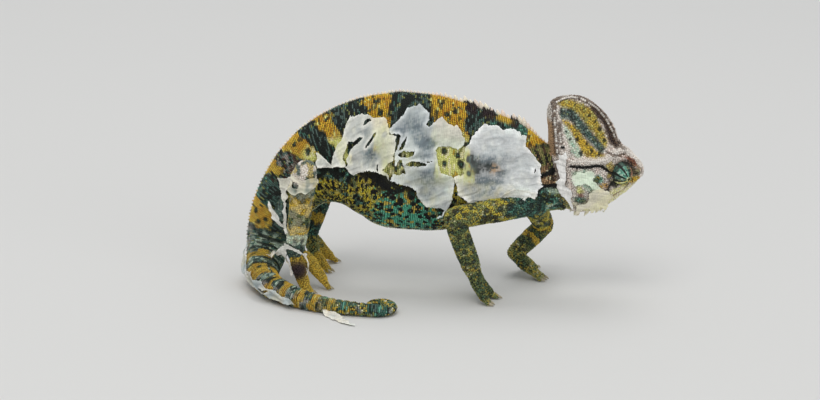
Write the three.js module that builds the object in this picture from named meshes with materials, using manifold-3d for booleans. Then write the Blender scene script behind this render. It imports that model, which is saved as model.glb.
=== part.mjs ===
// A life-size still model of a young adult veiled chameleon (Chamaeleo calyptratus).
// It stands with an arched back, its tail laid on the ground to its right and coiled flat at the tip.
// Millimetres, +Z up. +X is towards the snout, +Y towards the animal's left side, and Z = 0 is the ground.

import * as THREE from "three";
import { mergeVertices } from "three/addons/utils/BufferGeometryUtils.js";
import Module from "manifold-3d";

const wasm = await Module();
wasm.setup();

const { Vector3 } = THREE;
const degrees = Math.PI / 180;

// Driving dimensions.
const gap = 0.3; // between neighbouring sub-parts
const trunkSegments = 18; // points round a trunk section
const tailSegments = 10;
const limbSegments = 10;
const footSegments = 8;
const toeSegments = 6;
const eyeSegments = 16;
const belly = 0.016; // how much a limb swells halfway, as a share of its length
const finest = 0.1; // detail smaller than this is dropped
const modelCentre = new Vector3(0.96, -6.58, 0); // middle of the animal's plan, moved to the origin

// The body axis from inside the head to where the tail reaches the ground. Each station has its centre, its
// half height towards the back, its half width, and lean: how much wider the section is low down than near
// the ridge.
const bodyStations = [
  { x: 45.5, y: 0.6, z: 43.6, half: 10.2, side: 6.6, lean: 0.1 },
  { x: 39.2, y: 0.2, z: 42.7, half: 11.8, side: 7.4, lean: 0.15 },
  { x: 31.7, y: 0, z: 43.9, half: 15.6, side: 8.6, lean: 0.22 },
  { x: 21.8, y: 0, z: 46.0, half: 19.8, side: 9.8, lean: 0.28 },
  { x: 8.8, y: 0, z: 46.8, half: 23.4, side: 10.9, lean: 0.3 },
  { x: -4.8, y: 0, z: 47.6, half: 25.9, side: 11.5, lean: 0.3 },
  { x: -17.8, y: 0, z: 48.2, half: 26.0, side: 11.4, lean: 0.28 },
  { x: -30.5, y: 0, z: 48.6, half: 22.4, side: 10.6, lean: 0.24 },
  { x: -41.3, y: 0, z: 46.6, half: 17.6, side: 9.6, lean: 0.18 },
  { x: -50.0, y: 0, z: 41.6, half: 13.7, side: 8.6, lean: 0.14 },
  { x: -56.1, y: 0, z: 34.1, half: 11.4, side: 7.8, lean: 0.1 },
  { x: -60.4, y: 0, z: 25.2, half: 10.2, side: 7.2, lean: 0.06 },
  { x: -62.8, y: -0.2, z: 16.6, half: 8.9, side: 6.6, lean: 0.03 },
  { x: -64.2, y: -4.4, z: 9.6, half: 7.2, side: 5.9, lean: 0 },
  { x: -64.6, y: -13.4, z: 5.8, half: 5.9, side: 5.3, lean: 0 },
  { x: -61.0, y: -22.8, z: 4.5, half: 4.85, side: 4.6, lean: 0 },
  { x: -54.0, y: -30.6, z: 3.8, half: 4.05, side: 3.95, lean: 0 },
  { x: -45.4, y: -35.6, z: 3.2, half: 3.4, side: 3.35, lean: 0 },
  { x: -36.4, y: -38.3, z: 2.7, half: 2.9, side: 2.85, lean: 0 },
  { x: -28.6, y: -39.1, z: 2.45, half: 2.6, side: 2.6, lean: 0 },
];
const coil = { x: -21.6, y: -33.2, radius: 6.0, inner: 0.9, turns: 1.25, thick: 2.45, tip: 0.95 };
const coilStep = 30 * degrees;
const coilRest = 0.95; // height of its middle above the ground, as a share of its half thickness

// Where the body axis is cut into named lengths, counted in stations.
const bodyCuts = {
  neck: 1.55,
  trunk: 8.7,
  hips: 12.2,
  tailBase: 14.6,
  tailMiddle: 17.4,
  tailEnd: 19.5,
  coil: 27.5,
};
const cutOverlap = 0.1; // stations by which the lengths that clear the legs run into each other

// The row of spines along the back, and the one under the chin.
const backSpines = {
  from: 1.62,
  to: 15.0,
  pitch: 1.9,
  neckHeight: 2.4,
  backHeight: 1.15,
  tailHeight: 0.45,
  neckFade: 9, // how soon the tall spines of the shoulders give way, along the row
  sunk: 0.15,
  lean: 0.18, // towards the tail
  cutRoom: 0.08, // stations kept free of spines on both sides of a cut
};
const chinSpines = {
  count: 11,
  height: 2.1,
  least: 0.45, // the shortest, as a share of the height
  root: 0.6, // how deep they start
  radius: 0.75,
  lean: -0.25, // towards the throat
  cornerRoom: 1.2, // kept free on both sides of the corner of the mouth
};

// Horizontal slices of the head in its own frame: x forwards from the middle of the cheek, z up.
// peak is where the slice is widest, as a share of its length from the rear; full and soft shape its front;
// edge is half the thickness of its front ridge.
const headSlices = [
  { z: -16.0, rear: -5.5, front: 0.8, wide: 1.3, peak: 0.5, full: 2, soft: 0.5, edge: 0.4 },
  { z: -15.0, rear: -8.0, front: 4.2, wide: 3.4, peak: 0.45, full: 2, soft: 0.55, edge: 0.8 },
  { z: -12.8, rear: -11.2, front: 8.2, wide: 6.0, peak: 0.36, full: 1.8, soft: 0.6, edge: 1.2 },
  { z: -9.4, rear: -13.4, front: 12.9, wide: 8.0, peak: 0.32, full: 1.7, soft: 0.62, edge: 1.8 },
  { z: -5.6, rear: -14.6, front: 17.3, wide: 9.0, peak: 0.3, full: 1.6, soft: 0.62, edge: 2.2 },
  { z: -2.4, rear: -14.8, front: 19.9, wide: 9.3, peak: 0.3, full: 1.55, soft: 0.6, edge: 2.4 },
  { z: 0.4, rear: -14.8, front: 20.0, wide: 9.3, peak: 0.28, full: 1.5, soft: 0.62, edge: 2.5 },
  { z: 3.2, rear: -14.9, front: 17.9, wide: 9.1, peak: 0.26, full: 1.7, soft: 0.6, edge: 3.2 },
  { z: 6.0, rear: -15.1, front: 15.2, wide: 8.8, peak: 0.24, full: 1.9, soft: 0.6, edge: 3.6 },
  { z: 8.6, rear: -15.4, front: 12.4, wide: 8.3, peak: 0.2, full: 1.7, soft: 0.7, edge: 2.6 },
  { z: 11.2, rear: -15.7, front: 10.6, wide: 7.5, peak: 0.16, full: 1.1, soft: 1, edge: 1.5 },
  { z: 15.4, rear: -15.9, front: 9.1, wide: 6.4, peak: 0.14, full: 1, soft: 1, edge: 1.3 },
  { z: 20.2, rear: -16.5, front: 6.1, wide: 5.0, peak: 0.14, full: 1, soft: 1, edge: 1.3 },
  { z: 24.2, rear: -16.2, front: 2.3, wide: 3.6, peak: 0.16, full: 1, soft: 0.9, edge: 1.3 },
  { z: 26.9, rear: -14.0, front: -1.6, wide: 2.3, peak: 0.3, full: 1.5, soft: 0.7, edge: 1.2 },
  { z: 28.2, rear: -10.4, front: -5.0, wide: 1.1, peak: 0.5, full: 2, soft: 0.5, edge: 0.6 },
];
const headPlace = { x: 54.1, y: 1.2, z: 48.2, yaw: 8 * degrees, pitch: 3 * degrees };
const sliceSegments = 12; // points on each side of a head slice
const rearRoundness = { power: 3, soft: 0.4 };
const tipFrom = 0.93; // share of a slice where its front edge starts to close
const eye = { x: 10.3, y: 5.5, z: -0.4, radius: 4.1, reach: 4.9, yaw: 62 * degrees, dip: 18 * degrees };
const casqueCut = { x: 0, z: 9.2, slope: -10 * degrees };
const mouthCut = { x: 2.8, z: -11.4, slope: 26 * degrees }; // the mouth's corner, and how its line climbs

// The legs. A joint is [x, y, z, radius]. Each foot is two opposed bundles of toes, and a bundle has a
// knuckle, the root of its toes and the place where their ends meet the ground.
const legs = {
  foreleg_right: {
    parts: ["upper", "lower"],
    joints: [[33.5, -6.5, 35.6, 4.2], [4.1, -18.4, 32.6, 3.9], [12.4, -16.2, 12.2, 3.5]],
    bundles: [
      { knuckle: [14.4, -18.4, 7.4, 2.5], root: [17.2, -19.4, 2.8, 1.9], end: [19.0, -19.9], toes: 2 },
      { knuckle: [15.0, -13.2, 6.9, 2.6], root: [19.0, -11.2, 2.4, 2.0], end: [21.4, -10.2], toes: 3 },
    ],
  },
  foreleg_left: {
    parts: ["upper", "lower"],
    joints: [[32.5, 6.5, 34.6, 4.2], [39.8, 25.0, 18.8, 3.8], [29.0, 19.6, 8.8, 3.4]],
    bundles: [
      { knuckle: [31.8, 24.0, 5.2, 2.4], root: [35.4, 27.4, 2.3, 1.9], end: [37.4, 29.0], toes: 2 },
      { knuckle: [32.6, 17.4, 5.2, 2.5], root: [37.2, 15.4, 2.3, 2.0], end: [39.6, 14.4], toes: 3 },
    ],
  },
  hindleg_right: {
    parts: ["thigh", "shin"],
    joints: [[-56.5, -5.6, 24.6, 5.6], [-50.0, -20.4, 48.0, 4.2], [-53.0, -15.8, 15.6, 3.5]],
    bundles: [
      { knuckle: [-51.0, -17.6, 9.0, 2.8], root: [-48.4, -18.6, 3.0, 2.1], end: [-46.4, -19.0], toes: 3 },
      { knuckle: [-47.4, -13.2, 11.2, 2.7], root: [-42.2, -11.6, 4.0, 1.9], end: [-40.4, -10.8], toes: 2 },
    ],
  },
  hindleg_left: {
    parts: ["thigh", "shin"],
    joints: [[-56.5, 5.6, 24.6, 5.4], [-42.6, 21.0, 37.4, 4.3], [-49.4, 17.2, 12.8, 3.4]],
    bundles: [
      { knuckle: [-46.4, 20.6, 8.0, 2.7], root: [-41.8, 23.2, 2.9, 2.0], end: [-39.6, 24.4], toes: 3 },
      { knuckle: [-47.0, 13.6, 6.6, 2.6], root: [-43.0, 11.4, 2.6, 1.9], end: [-41.0, 10.2], toes: 2 },
    ],
  },
};
const toe = { radius: 1.12, spread: 1.75, rootSpread: 0.8, endSpread: 1.15, rootSwell: 1.15, rest: 0.78 };
const claw = { length: 2.0, radius: 0.6, lift: 0.1, droop: 0.3 };
const wristRadius = 2.9;
const ankle = { cut: 0.06, top: 0.2, swell: 0.1 }; // cut and top are shares of the lower leg, from its end

const finishes = {
  hide: new THREE.MeshStandardMaterial({ color: 0x6e7a35, roughness: 0.75, metalness: 0 }),
  casque: new THREE.MeshStandardMaterial({ color: 0x8d8a4c, roughness: 0.7, metalness: 0 }),
  limb: new THREE.MeshStandardMaterial({ color: 0x63703a, roughness: 0.75, metalness: 0 }),
  eye: new THREE.MeshStandardMaterial({ color: 0x3f7f70, roughness: 0.5, metalness: 0 }),
};

// Solids.

// A closed surface through rings of points, with both ends closed by a fan round their middle.
function loft(rings) {
  const around = rings[0].length;
  const points = rings.flat();
  const faces = [];
  for (let ring = 0; ring + 1 < rings.length; ring++) {
    for (let i = 0; i < around; i++) {
      const here = ring * around + i;
      const next = ring * around + ((i + 1) % around);
      faces.push(here, next, next + around, here, next + around, here + around);
    }
  }
  for (const end of [0, rings.length - 1]) {
    const middle = points.length;
    const centre = rings[end].reduce((sum, p) => sum.add(p), new Vector3()).divideScalar(around);
    points.push(centre);
    for (let i = 0; i < around; i++) {
      const here = end * around + i;
      const next = end * around + ((i + 1) % around);
      faces.push(...(end === 0 ? [middle, next, here] : [middle, here, next]));
    }
  }
  return solid(new THREE.BufferGeometry().setFromPoints(points).setIndex(faces));
}

// A closed geometry as a manifold, turned the right way out.
function solid(geometry) {
  const bare = geometry.clone();
  bare.deleteAttribute("normal");
  bare.deleteAttribute("uv");
  const merged = mergeVertices(bare, 1e-4);
  const make = (index) =>
    new wasm.Manifold(
      new wasm.Mesh({
        numProp: 3,
        vertProperties: new Float32Array(merged.attributes.position.array),
        triVerts: new Uint32Array(index),
      }),
    );
  const index = Array.from(merged.index.array);
  const made = make(index);
  return made.volume() > 0 ? made : make(index.reverse());
}

function geometryOf(body) {
  const mesh = body.getMesh();
  const geometry = new THREE.BufferGeometry();
  geometry.setAttribute("position", new THREE.BufferAttribute(new Float32Array(mesh.vertProperties), 3));
  geometry.setIndex(Array.from(mesh.triVerts));
  geometry.computeVertexNormals();
  return geometry;
}

// A round bar from a to b, of radius ra and rb, with round ends and a belly.
function bar(a, b, ra, rb, segments = limbSegments, roundSteps = 3) {
  const length = a.distanceTo(b);
  const profile = [];
  for (let step = 0; step <= roundSteps; step++) {
    const angle = ((step / roundSteps) * 90 - 90) * degrees;
    profile.push(new THREE.Vector2(step === 0 ? 0 : ra * Math.cos(angle), ra * Math.sin(angle)));
  }
  if (roundSteps > 2) profile.push(new THREE.Vector2((ra + rb) / 2 + belly * length, length / 2));
  for (let step = 0; step <= roundSteps; step++) {
    const angle = (step / roundSteps) * 90 * degrees;
    const radius = step === roundSteps ? 0 : rb * Math.cos(angle);
    profile.push(new THREE.Vector2(radius, length + rb * Math.sin(angle)));
  }
  const turned = new THREE.LatheGeometry(profile, segments);
  const towards = b.clone().sub(a).normalize();
  turned.applyQuaternion(new THREE.Quaternion().setFromUnitVectors(new Vector3(0, 1, 0), towards));
  return solid(turned.translate(a.x, a.y, a.z));
}

// A pointed spine with its base centred at a point.
function spine(base, direction, radius, height, sides = 4) {
  const sunk = radius * 0.8;
  const length = height + sunk;
  const cone = new THREE.ConeGeometry(radius, length, sides).translate(0, length / 2 - sunk, 0);
  const up = new Vector3(0, 1, 0);
  cone.applyQuaternion(new THREE.Quaternion().setFromUnitVectors(up, direction.clone().normalize()));
  return solid(cone.translate(base.x, base.y, base.z));
}

const joined = (bodies) => wasm.Manifold.union(bodies);

// The body axis.

// The stations, followed by those of the flat coil at the tail's tip.
function axisStations() {
  const stations = bodyStations.slice();
  const steps = Math.round((coil.turns * 360 * degrees) / coilStep);
  for (let step = 0; step <= steps; step++) {
    const share = step / steps;
    const radius = coil.radius + (coil.inner - coil.radius) * share;
    const angle = -90 * degrees + step * coilStep;
    const thick = coil.thick + (coil.tip - coil.thick) * share;
    stations.push({
      x: coil.x + radius * Math.cos(angle),
      y: coil.y + radius * Math.sin(angle),
      z: thick * coilRest,
      half: thick,
      side: thick,
      lean: 0,
    });
  }
  return stations;
}

const stations = axisStations();
const axis = new THREE.CatmullRomCurve3(stations.map((s) => new Vector3(s.x, s.y, s.z)));
const sizes = new THREE.CatmullRomCurve3(stations.map((s) => new Vector3(s.half, s.side, s.lean)));
const lastStation = stations.length - 1;

// The frame of the axis at a place counted in stations: along is towards the tail, and up towards the back.
function frameAt(place) {
  const step = 0.1;
  const sideways = new Vector3(0, 1, 0);
  for (let p = 0; p < place; p += step) {
    const along = axis.getTangent(p / lastStation);
    sideways.addScaledVector(along, -sideways.dot(along)).normalize();
  }
  const share = Math.min(place / lastStation, 1);
  const along = axis.getTangent(share);
  sideways.addScaledVector(along, -sideways.dot(along)).normalize();
  const up = new Vector3().crossVectors(sideways, along);
  const size = sizes.getPoint(share);
  return { centre: axis.getPoint(share), along, sideways, up, half: size.x, side: size.y, lean: size.z };
}

function sectionAt(place, segments, grow) {
  const f = frameAt(place);
  const ring = [];
  for (let i = 0; i < segments; i++) {
    const angle = (i / segments) * 360 * degrees;
    const across = (f.side + grow) * Math.sin(angle) * (1 - f.lean * Math.cos(angle));
    const high = (f.half + grow) * Math.cos(angle);
    ring.push(f.centre.clone().addScaledVector(f.sideways, across).addScaledVector(f.up, high));
  }
  return ring;
}

// A length of the body between two places, shortened by half the gap at each cut.
function bodyLength(from, to, stepsPerStation, segments, grow = 0) {
  const step = 0.05;
  const centreAt = (place) => axis.getPoint(place / lastStation);
  const spacing = (place) => centreAt(place).distanceTo(centreAt(place + step)) / step;
  const start = from + gap / 2 / spacing(from);
  const end = Math.min(to - gap / 2 / spacing(to), lastStation);
  const count = Math.max(2, Math.round((end - start) * stepsPerStation));
  const rings = [];
  for (let i = 0; i <= count; i++) {
    rings.push(sectionAt(start + ((end - start) * i) / count, segments, grow));
  }
  return loft(rings);
}

// Spines along the back between two places. They are tallest over the shoulders.
function spinesBetween(from, to) {
  const made = [];
  let place = backSpines.from;
  while (place < backSpines.to) {
    const f = frameAt(place);
    const share = (place - backSpines.from) / (backSpines.to - backSpines.from);
    const front = Math.exp(-share * backSpines.neckFade);
    const height = backSpines.tailHeight + (backSpines.backHeight - backSpines.tailHeight) * (1 - share);
    const tall = height + (backSpines.neckHeight - backSpines.backHeight) * front;
    if (place > from + backSpines.cutRoom && place < to - backSpines.cutRoom) {
      const base = f.centre.clone().addScaledVector(f.up, f.half - backSpines.sunk);
      const lean = f.up.clone().addScaledVector(f.along, backSpines.lean);
      made.push(spine(base, lean, backSpines.pitch * 0.5, tall, 3));
    }
    place += backSpines.pitch / arcRate(place);
  }
  return made;
}

// Millimetres along the back line for each station at a place, and not less than a few.
function arcRate(place) {
  const step = 0.1;
  const least = 3;
  const here = frameAt(place);
  const there = frameAt(place + step);
  const top = (f) => f.centre.clone().addScaledVector(f.up, f.half);
  return Math.max(top(here).distanceTo(top(there)) / step, least);
}

// The head, in its own frame.

function headSlice(slice, grow = 0) {
  const ring = [];
  const rear = slice.rear - grow;
  const length = slice.front + grow - rear;
  const side = [];
  for (let i = 0; i <= sliceSegments; i++) {
    const share = (1 - Math.cos((i / sliceSegments) * 180 * degrees)) / 2;
    const behind = Math.max(0, (slice.peak - share) / slice.peak);
    const ahead = Math.max(0, (share - slice.peak) / (1 - slice.peak));
    const rearBody = (1 - behind ** rearRoundness.power) ** rearRoundness.soft;
    const body = behind > 0 ? rearBody : (1 - ahead ** slice.full) ** slice.soft;
    const beyondTip = Math.max(0, (share - tipFrom) / (1 - tipFrom));
    const tip = Math.sqrt(Math.max(0, 1 - beyondTip ** 2));
    const ridge = behind > 0 ? 0 : slice.edge * tip;
    side.push({ x: rear + length * share, y: Math.max((slice.wide + grow) * body, ridge) });
  }
  for (let i = 0; i <= sliceSegments; i++) ring.push(new Vector3(side[i].x, side[i].y, slice.z));
  for (let i = sliceSegments - 1; i > 0; i--) ring.push(new Vector3(side[i].x, -side[i].y, slice.z));
  return ring;
}

// One eye turret: a blunt cone that looks outwards and a little forwards. side is 1 for the left eye.
function eyeTurret(side, grow = 0) {
  const profile = [
    [0, -3.2],
    [eye.radius + grow, -2.6],
    [eye.radius + grow, 0.2],
    [eye.radius * 0.93 + grow, eye.reach * 0.34],
    [eye.radius * 0.72 + grow, eye.reach * 0.66],
    [eye.radius * 0.42 + grow, eye.reach * 0.88],
    [0, eye.reach + grow],
  ].map(([r, h]) => new THREE.Vector2(r, h));
  const turned = new THREE.LatheGeometry(profile, eyeSegments);
  const look = new Vector3(Math.cos(eye.yaw), side * Math.sin(eye.yaw), -Math.sin(eye.dip));
  turned.applyQuaternion(new THREE.Quaternion().setFromUnitVectors(new Vector3(0, 1, 0), look.normalize()));
  return solid(turned.translate(eye.x, side * eye.y, eye.z));
}

// Spines along the underside of the jaw, longest under the throat.
function chinRow(fromX, toX, grow = 0) {
  const line = new THREE.CatmullRomCurve3([
    new Vector3(13.4, 0, -8.6),
    new Vector3(7.6, 0, -12.6),
    new Vector3(1.6, 0, -15.4),
    new Vector3(-5.0, 0, -15.4),
    new Vector3(-10.4, 0, -12.8),
  ]);
  const made = [];
  for (let i = 0; i < chinSpines.count; i++) {
    const share = (i + 0.5) / chinSpines.count;
    const bulge = chinSpines.least + (1 - chinSpines.least) * Math.sin(share * 180 * degrees);
    const base = line.getPoint(share);
    if (base.x > fromX && base.x < toX) {
      const direction = new Vector3(chinSpines.lean, 0, -1);
      const height = chinSpines.height * bulge + chinSpines.root + grow;
      made.push(spine(base, direction, chinSpines.radius + grow, height));
    }
  }
  return made;
}

// A cutting plane that contains the Y axis of the head's frame and slopes along X. With keep 1 it leaves what
// lies above it, and with -1 what lies below.
function headPlane(cut, keep) {
  const normal = new Vector3(-Math.sin(cut.slope), 0, Math.cos(cut.slope)).multiplyScalar(keep);
  const offset = normal.dot(new Vector3(cut.x, 0, cut.z)) + gap / 2;
  return [normal.toArray(), offset];
}

// A block that holds the lower jaw: below the line of the mouth and in front of its corner.
function mouthBlock(grow) {
  const length = 60;
  const depth = 40;
  const block = new THREE.BoxGeometry(length, length, depth).translate(length / 2 - grow, 0, grow - depth / 2);
  return solid(block.rotateY(-mouthCut.slope).translate(mouthCut.x, 0, mouthCut.z));
}

function headParts() {
  const skull = loft(headSlices.map((s) => headSlice(s)));
  const eyes = { right: eyeTurret(-1), left: eyeTurret(1) };
  const sockets = joined([eyeTurret(-1, gap), eyeTurret(1, gap)]);
  const casque = skull.trimByPlane(...headPlane(casqueCut, 1)).subtract(sockets);
  const below = skull.trimByPlane(...headPlane(casqueCut, -1));
  const jaw = below.intersect(mouthBlock(-gap / 2));
  const corner = mouthCut.x;
  const room = chinSpines.cornerRoom;
  return {
    casque,
    head: joined([below.subtract(mouthBlock(gap / 2)), ...chinRow(-Infinity, corner - room)]).subtract(sockets),
    lower_jaw: joined([jaw, ...chinRow(corner + room, Infinity)]).subtract(sockets),
    eye_right: eyes.right,
    eye_left: eyes.left,
  };
}

// Legs.

const point = ([x, y, z]) => new Vector3(x, y, z);

function toeBundle(wrist, bundle) {
  const knuckle = point(bundle.knuckle);
  const root = point(bundle.root);
  const end = point([...bundle.end, toe.radius * toe.rest]);
  const ahead = end.clone().sub(root).setZ(0).normalize();
  const across = new Vector3(-ahead.y, ahead.x, 0);
  const pieces = [
    bar(wrist, knuckle, wristRadius, bundle.knuckle[3], footSegments, 1),
    bar(knuckle, root, bundle.knuckle[3], bundle.root[3], footSegments, 2),
  ];
  for (let i = 0; i < bundle.toes; i++) {
    const off = (i - (bundle.toes - 1) / 2) * toe.spread;
    const from = root.clone().addScaledVector(across, off * toe.rootSpread);
    const to = end.clone().addScaledVector(across, off * toe.endSpread);
    pieces.push(bar(from, to, toe.radius * toe.rootSwell, toe.radius, toeSegments, 1));
    const clawBase = to.clone().setZ(to.z + claw.lift);
    pieces.push(spine(clawBase, ahead.clone().setZ(-claw.droop), claw.radius, claw.length));
  }
  return pieces;
}

// The direction across the bend of a leg at one of its joints.
function bendNormal(a, joint, b) {
  return joint.clone().sub(a).normalize().add(b.clone().sub(joint).normalize()).normalize();
}

// Keeps the part of a body that lies beyond a plane through a point, less half the gap.
function beyond(body, normal, through) {
  return body.trimByPlane(normal.toArray(), normal.dot(through) + gap / 2);
}

// Keeps the body's largest piece.
function largest(body) {
  return body.decompose().sort((a, b) => b.volume() - a.volume())[0];
}

// A leg as an upper part, a lower part and a foot, clear of the trunk.
function legParts(name, leg, body) {
  const [top, middle, bottom] = leg.joints.map(point);
  const [ra, rb, rc] = leg.joints.map((j) => j[3]);
  const bend = bendNormal(top, middle, bottom);
  const down = bottom.clone().sub(middle).normalize();
  const footTop = bottom.clone().lerp(middle, ankle.cut);
  const upperBar = bar(top, middle, ra, rb);
  const lowerBar = bar(middle, bottom, rb, rc);
  const upper = largest(beyond(upperBar, bend.clone().negate(), middle).subtract(body));
  const lower = beyond(beyond(lowerBar, bend, middle), down.clone().negate(), footTop);
  const shank = bar(bottom, bottom.clone().lerp(middle, ankle.top), rc, rc + ankle.swell);
  const foot = joined([...leg.bundles.flatMap((b) => toeBundle(bottom, b)), shank]);
  return {
    [`${name}_${leg.parts[0]}`]: upper,
    [`${name}_${leg.parts[1]}`]: largest(lower.subtract(body).subtract(upper)),
    [name.replace("leg", "foot")]: largest(beyond(foot, down, footTop)),
  };
}

// The whole animal.

// The body's lengths and the legs in the animal's own frame, clear of the head and each other.
function bodyParts(headRoom) {
  const { neck, trunk, hips, tailBase, tailMiddle, tailEnd, coil: coilMiddle } = bodyCuts;
  const spined = (from, to, steps, segments) =>
    joined([bodyLength(from, to, steps, segments), ...spinesBetween(from, to)]);
  const nodes = {
    neck: bodyLength(0, neck, 3, trunkSegments).subtract(headRoom),
    trunk: spined(neck, trunk, 2, trunkSegments).subtract(headRoom),
    hips: spined(trunk, hips, 3, trunkSegments),
    tail_base: spined(hips, tailBase, 3, trunkSegments),
    tail_middle: spined(tailBase, tailMiddle, 2.5, tailSegments),
    tail_end: bodyLength(tailMiddle, tailEnd, 2.5, tailSegments),
    tail_coil: bodyLength(tailEnd, coilMiddle, 1.6, tailSegments),
    tail_tip: bodyLength(coilMiddle, lastStation, 1.6, tailSegments),
  };
  const body = joined([
    headRoom,
    bodyLength(0, trunk, 2, trunkSegments, gap),
    bodyLength(trunk - cutOverlap, tailBase + cutOverlap, 3, trunkSegments, gap),
  ]);
  for (const [name, leg] of Object.entries(legs)) Object.assign(nodes, legParts(name, leg, body));
  return nodes;
}

function finishOf(name) {
  if (name.startsWith("eye")) return finishes.eye;
  if (name === "casque") return finishes.casque;
  return /leg|foot/.test(name) ? finishes.limb : finishes.hide;
}

function addParts(group, nodes, trim) {
  for (const [name, body] of Object.entries(nodes)) {
    const mesh = new THREE.Mesh(geometryOf(largest(trim(body).simplify(finest))), finishOf(name));
    mesh.name = name;
    group.add(mesh);
  }
}

const chameleon = new THREE.Group();
chameleon.position.copy(modelCentre).negate();
const headGroup = new THREE.Group();
headGroup.position.set(headPlace.x, headPlace.y, headPlace.z);
headGroup.rotation.set(0, -headPlace.pitch, headPlace.yaw, "ZYX");
headGroup.updateMatrix();
const headShell = loft(headSlices.map((s) => headSlice(s, gap)));
const headRoom = joined([headShell, ...chinRow(-Infinity, Infinity, gap)]).transform(headGroup.matrix.elements);
addParts(headGroup, headParts(), (body) => body);
addParts(chameleon, bodyParts(headRoom), (body) => body.trimByPlane([0, 0, 1], 0));
chameleon.add(headGroup);

export default chameleon;
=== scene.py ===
import math
import time
from functools import partial

import bmesh
import bpy
import numpy as np
from mathutils import Matrix, Vector
from mathutils.bvhtree import BVHTree
from mathutils.kdtree import KDTree


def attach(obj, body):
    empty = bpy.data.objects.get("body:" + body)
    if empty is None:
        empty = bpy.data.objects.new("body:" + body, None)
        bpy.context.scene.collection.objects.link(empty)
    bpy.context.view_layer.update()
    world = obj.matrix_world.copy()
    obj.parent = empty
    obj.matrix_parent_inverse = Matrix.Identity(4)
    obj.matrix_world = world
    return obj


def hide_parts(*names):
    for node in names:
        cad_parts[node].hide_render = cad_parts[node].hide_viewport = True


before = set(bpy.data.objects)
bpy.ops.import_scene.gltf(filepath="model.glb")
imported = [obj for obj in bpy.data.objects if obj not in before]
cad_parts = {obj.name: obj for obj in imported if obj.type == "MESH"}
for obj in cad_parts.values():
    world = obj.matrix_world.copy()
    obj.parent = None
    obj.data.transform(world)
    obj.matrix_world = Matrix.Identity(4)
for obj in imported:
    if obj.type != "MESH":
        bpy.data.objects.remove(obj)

# Veiled chameleon, life size. Shapes are worked out in the animal's own millimetres (+X to the snout, +Y to
# its left, +Z up) and go to the frame's metres in toFrame.

started = time.time()
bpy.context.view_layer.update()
modelCentre = np.array([0.96, -6.58, 0.0])
metresPerMm = 0.001
coatDepth = 0.26  # how far the skin lies inside the solids, which the scales fill
scene = bpy.context.scene


def report(text):
    print(f"[{time.time() - started:5.1f} s] {text}")


# small helpers

def toFrame(points):
    return (np.asarray(points, float) - modelCentre) * metresPerMm


def unit(vectors):
    return vectors / np.maximum(np.linalg.norm(vectors, axis=-1, keepdims=True), 1e-9)


def ramp(value, low, high):  # smooth 0 to 1 from low to high, which may be the larger one
    share = np.clip((value - low) / (high - low), 0, 1)
    return share * share * (3 - 2 * share)


def within(value, low, high, soft):
    return ramp(value, low - soft, low + soft) * ramp(value, high + soft, high - soft)


def hump(*parts):  # 1 in the middle and soft to 0; each part is a value, its middle and its reach
    return np.exp(-sum(((value - middle) / reach) ** 2 for value, middle, reach in parts))


def lattice(cell, seed):  # a repeatable random number for each cell
    x, y, z = cell[..., 0], cell[..., 1], cell[..., 2]
    mixed = np.sin(x * 127.1 + y * 311.7 + z * 74.7 + seed * 53.3) * 43758.5453
    return mixed - np.floor(mixed)


def noise(points, size, seed=0):  # soft noise, 0 to 1
    scaled = points / size
    cell = np.floor(scaled)
    part = scaled - cell
    part = part * part * (3 - 2 * part)
    total = 0
    for corner in np.ndindex(2, 2, 2):
        weight = np.prod(np.where(corner, part, 1 - part), axis=-1)
        total = total + weight * lattice(cell + np.array(corner), seed)
    return total


def spotDistance(across, down, size, seed=0):  # to the nearest of many scattered centres on a flat map
    flat = np.stack([across, down], -1) / size
    cell = np.floor(flat)
    best = np.full(len(flat), 9.0)
    for step in np.ndindex(3, 3):
        here = np.concatenate([cell + np.array(step) - 1, np.zeros((len(flat), 1))], 1)
        centre = here[:, :2] + 0.15 + 0.7 * np.stack([lattice(here, seed + 1), lattice(here, seed + 2)], -1)
        best = np.minimum(best, np.linalg.norm(flat - centre, axis=1))
    return best * size


def offLine(flat, line):  # the way from a polyline to each point of a flat map, and how far it is
    best, far = np.zeros_like(flat), np.full(len(flat), 1e9)
    for start, end in zip(np.array(line[:-1], float), np.array(line[1:], float)):
        run = end - start
        share = np.clip((flat - start) @ run / max(run @ run, 1e-12), 0, 1)
        off = flat - start - share[:, None] * run
        away = np.linalg.norm(off, axis=1)
        best = np.where((away < far)[:, None], off, best)
        far = np.minimum(far, away)
    return best, far


def lineDistance(across, up, line):
    return offLine(np.stack([across, up], -1), line)[1]


def runLength(points):  # how far along its line each point is
    return np.concatenate([[0], np.cumsum(np.linalg.norm(np.diff(points, axis=0), axis=1))])


def insideOutline(across, up, outline):
    inside = np.zeros(len(across), bool)
    for (x0, y0), (x1, y1) in zip(outline, outline[1:] + outline[:1]):
        if y0 == y1:
            continue
        crosses = (up >= min(y0, y1)) & (up < max(y0, y1))
        inside ^= crosses & (across < x0 + (up - y0) / (y1 - y0) * (x1 - x0))
    return inside


def curveThrough(rows, places):  # centripetal Catmull-Rom, a whole number at each row
    rows = np.asarray(rows, float)
    padded = np.vstack([2 * rows[0] - rows[1], rows, 2 * rows[-1] - rows[-2]])
    first = np.clip(np.floor(places).astype(int), 0, len(rows) - 2)
    share = (places - first)[:, None]
    a, b, c, d = (padded[first + k] for k in range(4))

    def span(p, q):
        return np.maximum(((p - q) ** 2).sum(1) ** 0.25, 1e-4)[:, None]

    ab, bc, cd = span(a, b), span(b, c), span(c, d)
    leave = ((b - a) / ab - (c - a) / (ab + bc) + (c - b) / bc) * bc
    arrive = ((c - b) / bc - (d - b) / (bc + cd) + (d - c) / cd) * bc
    return b + leave * share + (3 * (c - b) - 2 * leave - arrive) * share**2 + (
        2 * (b - c) + leave + arrive) * share**3


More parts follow.
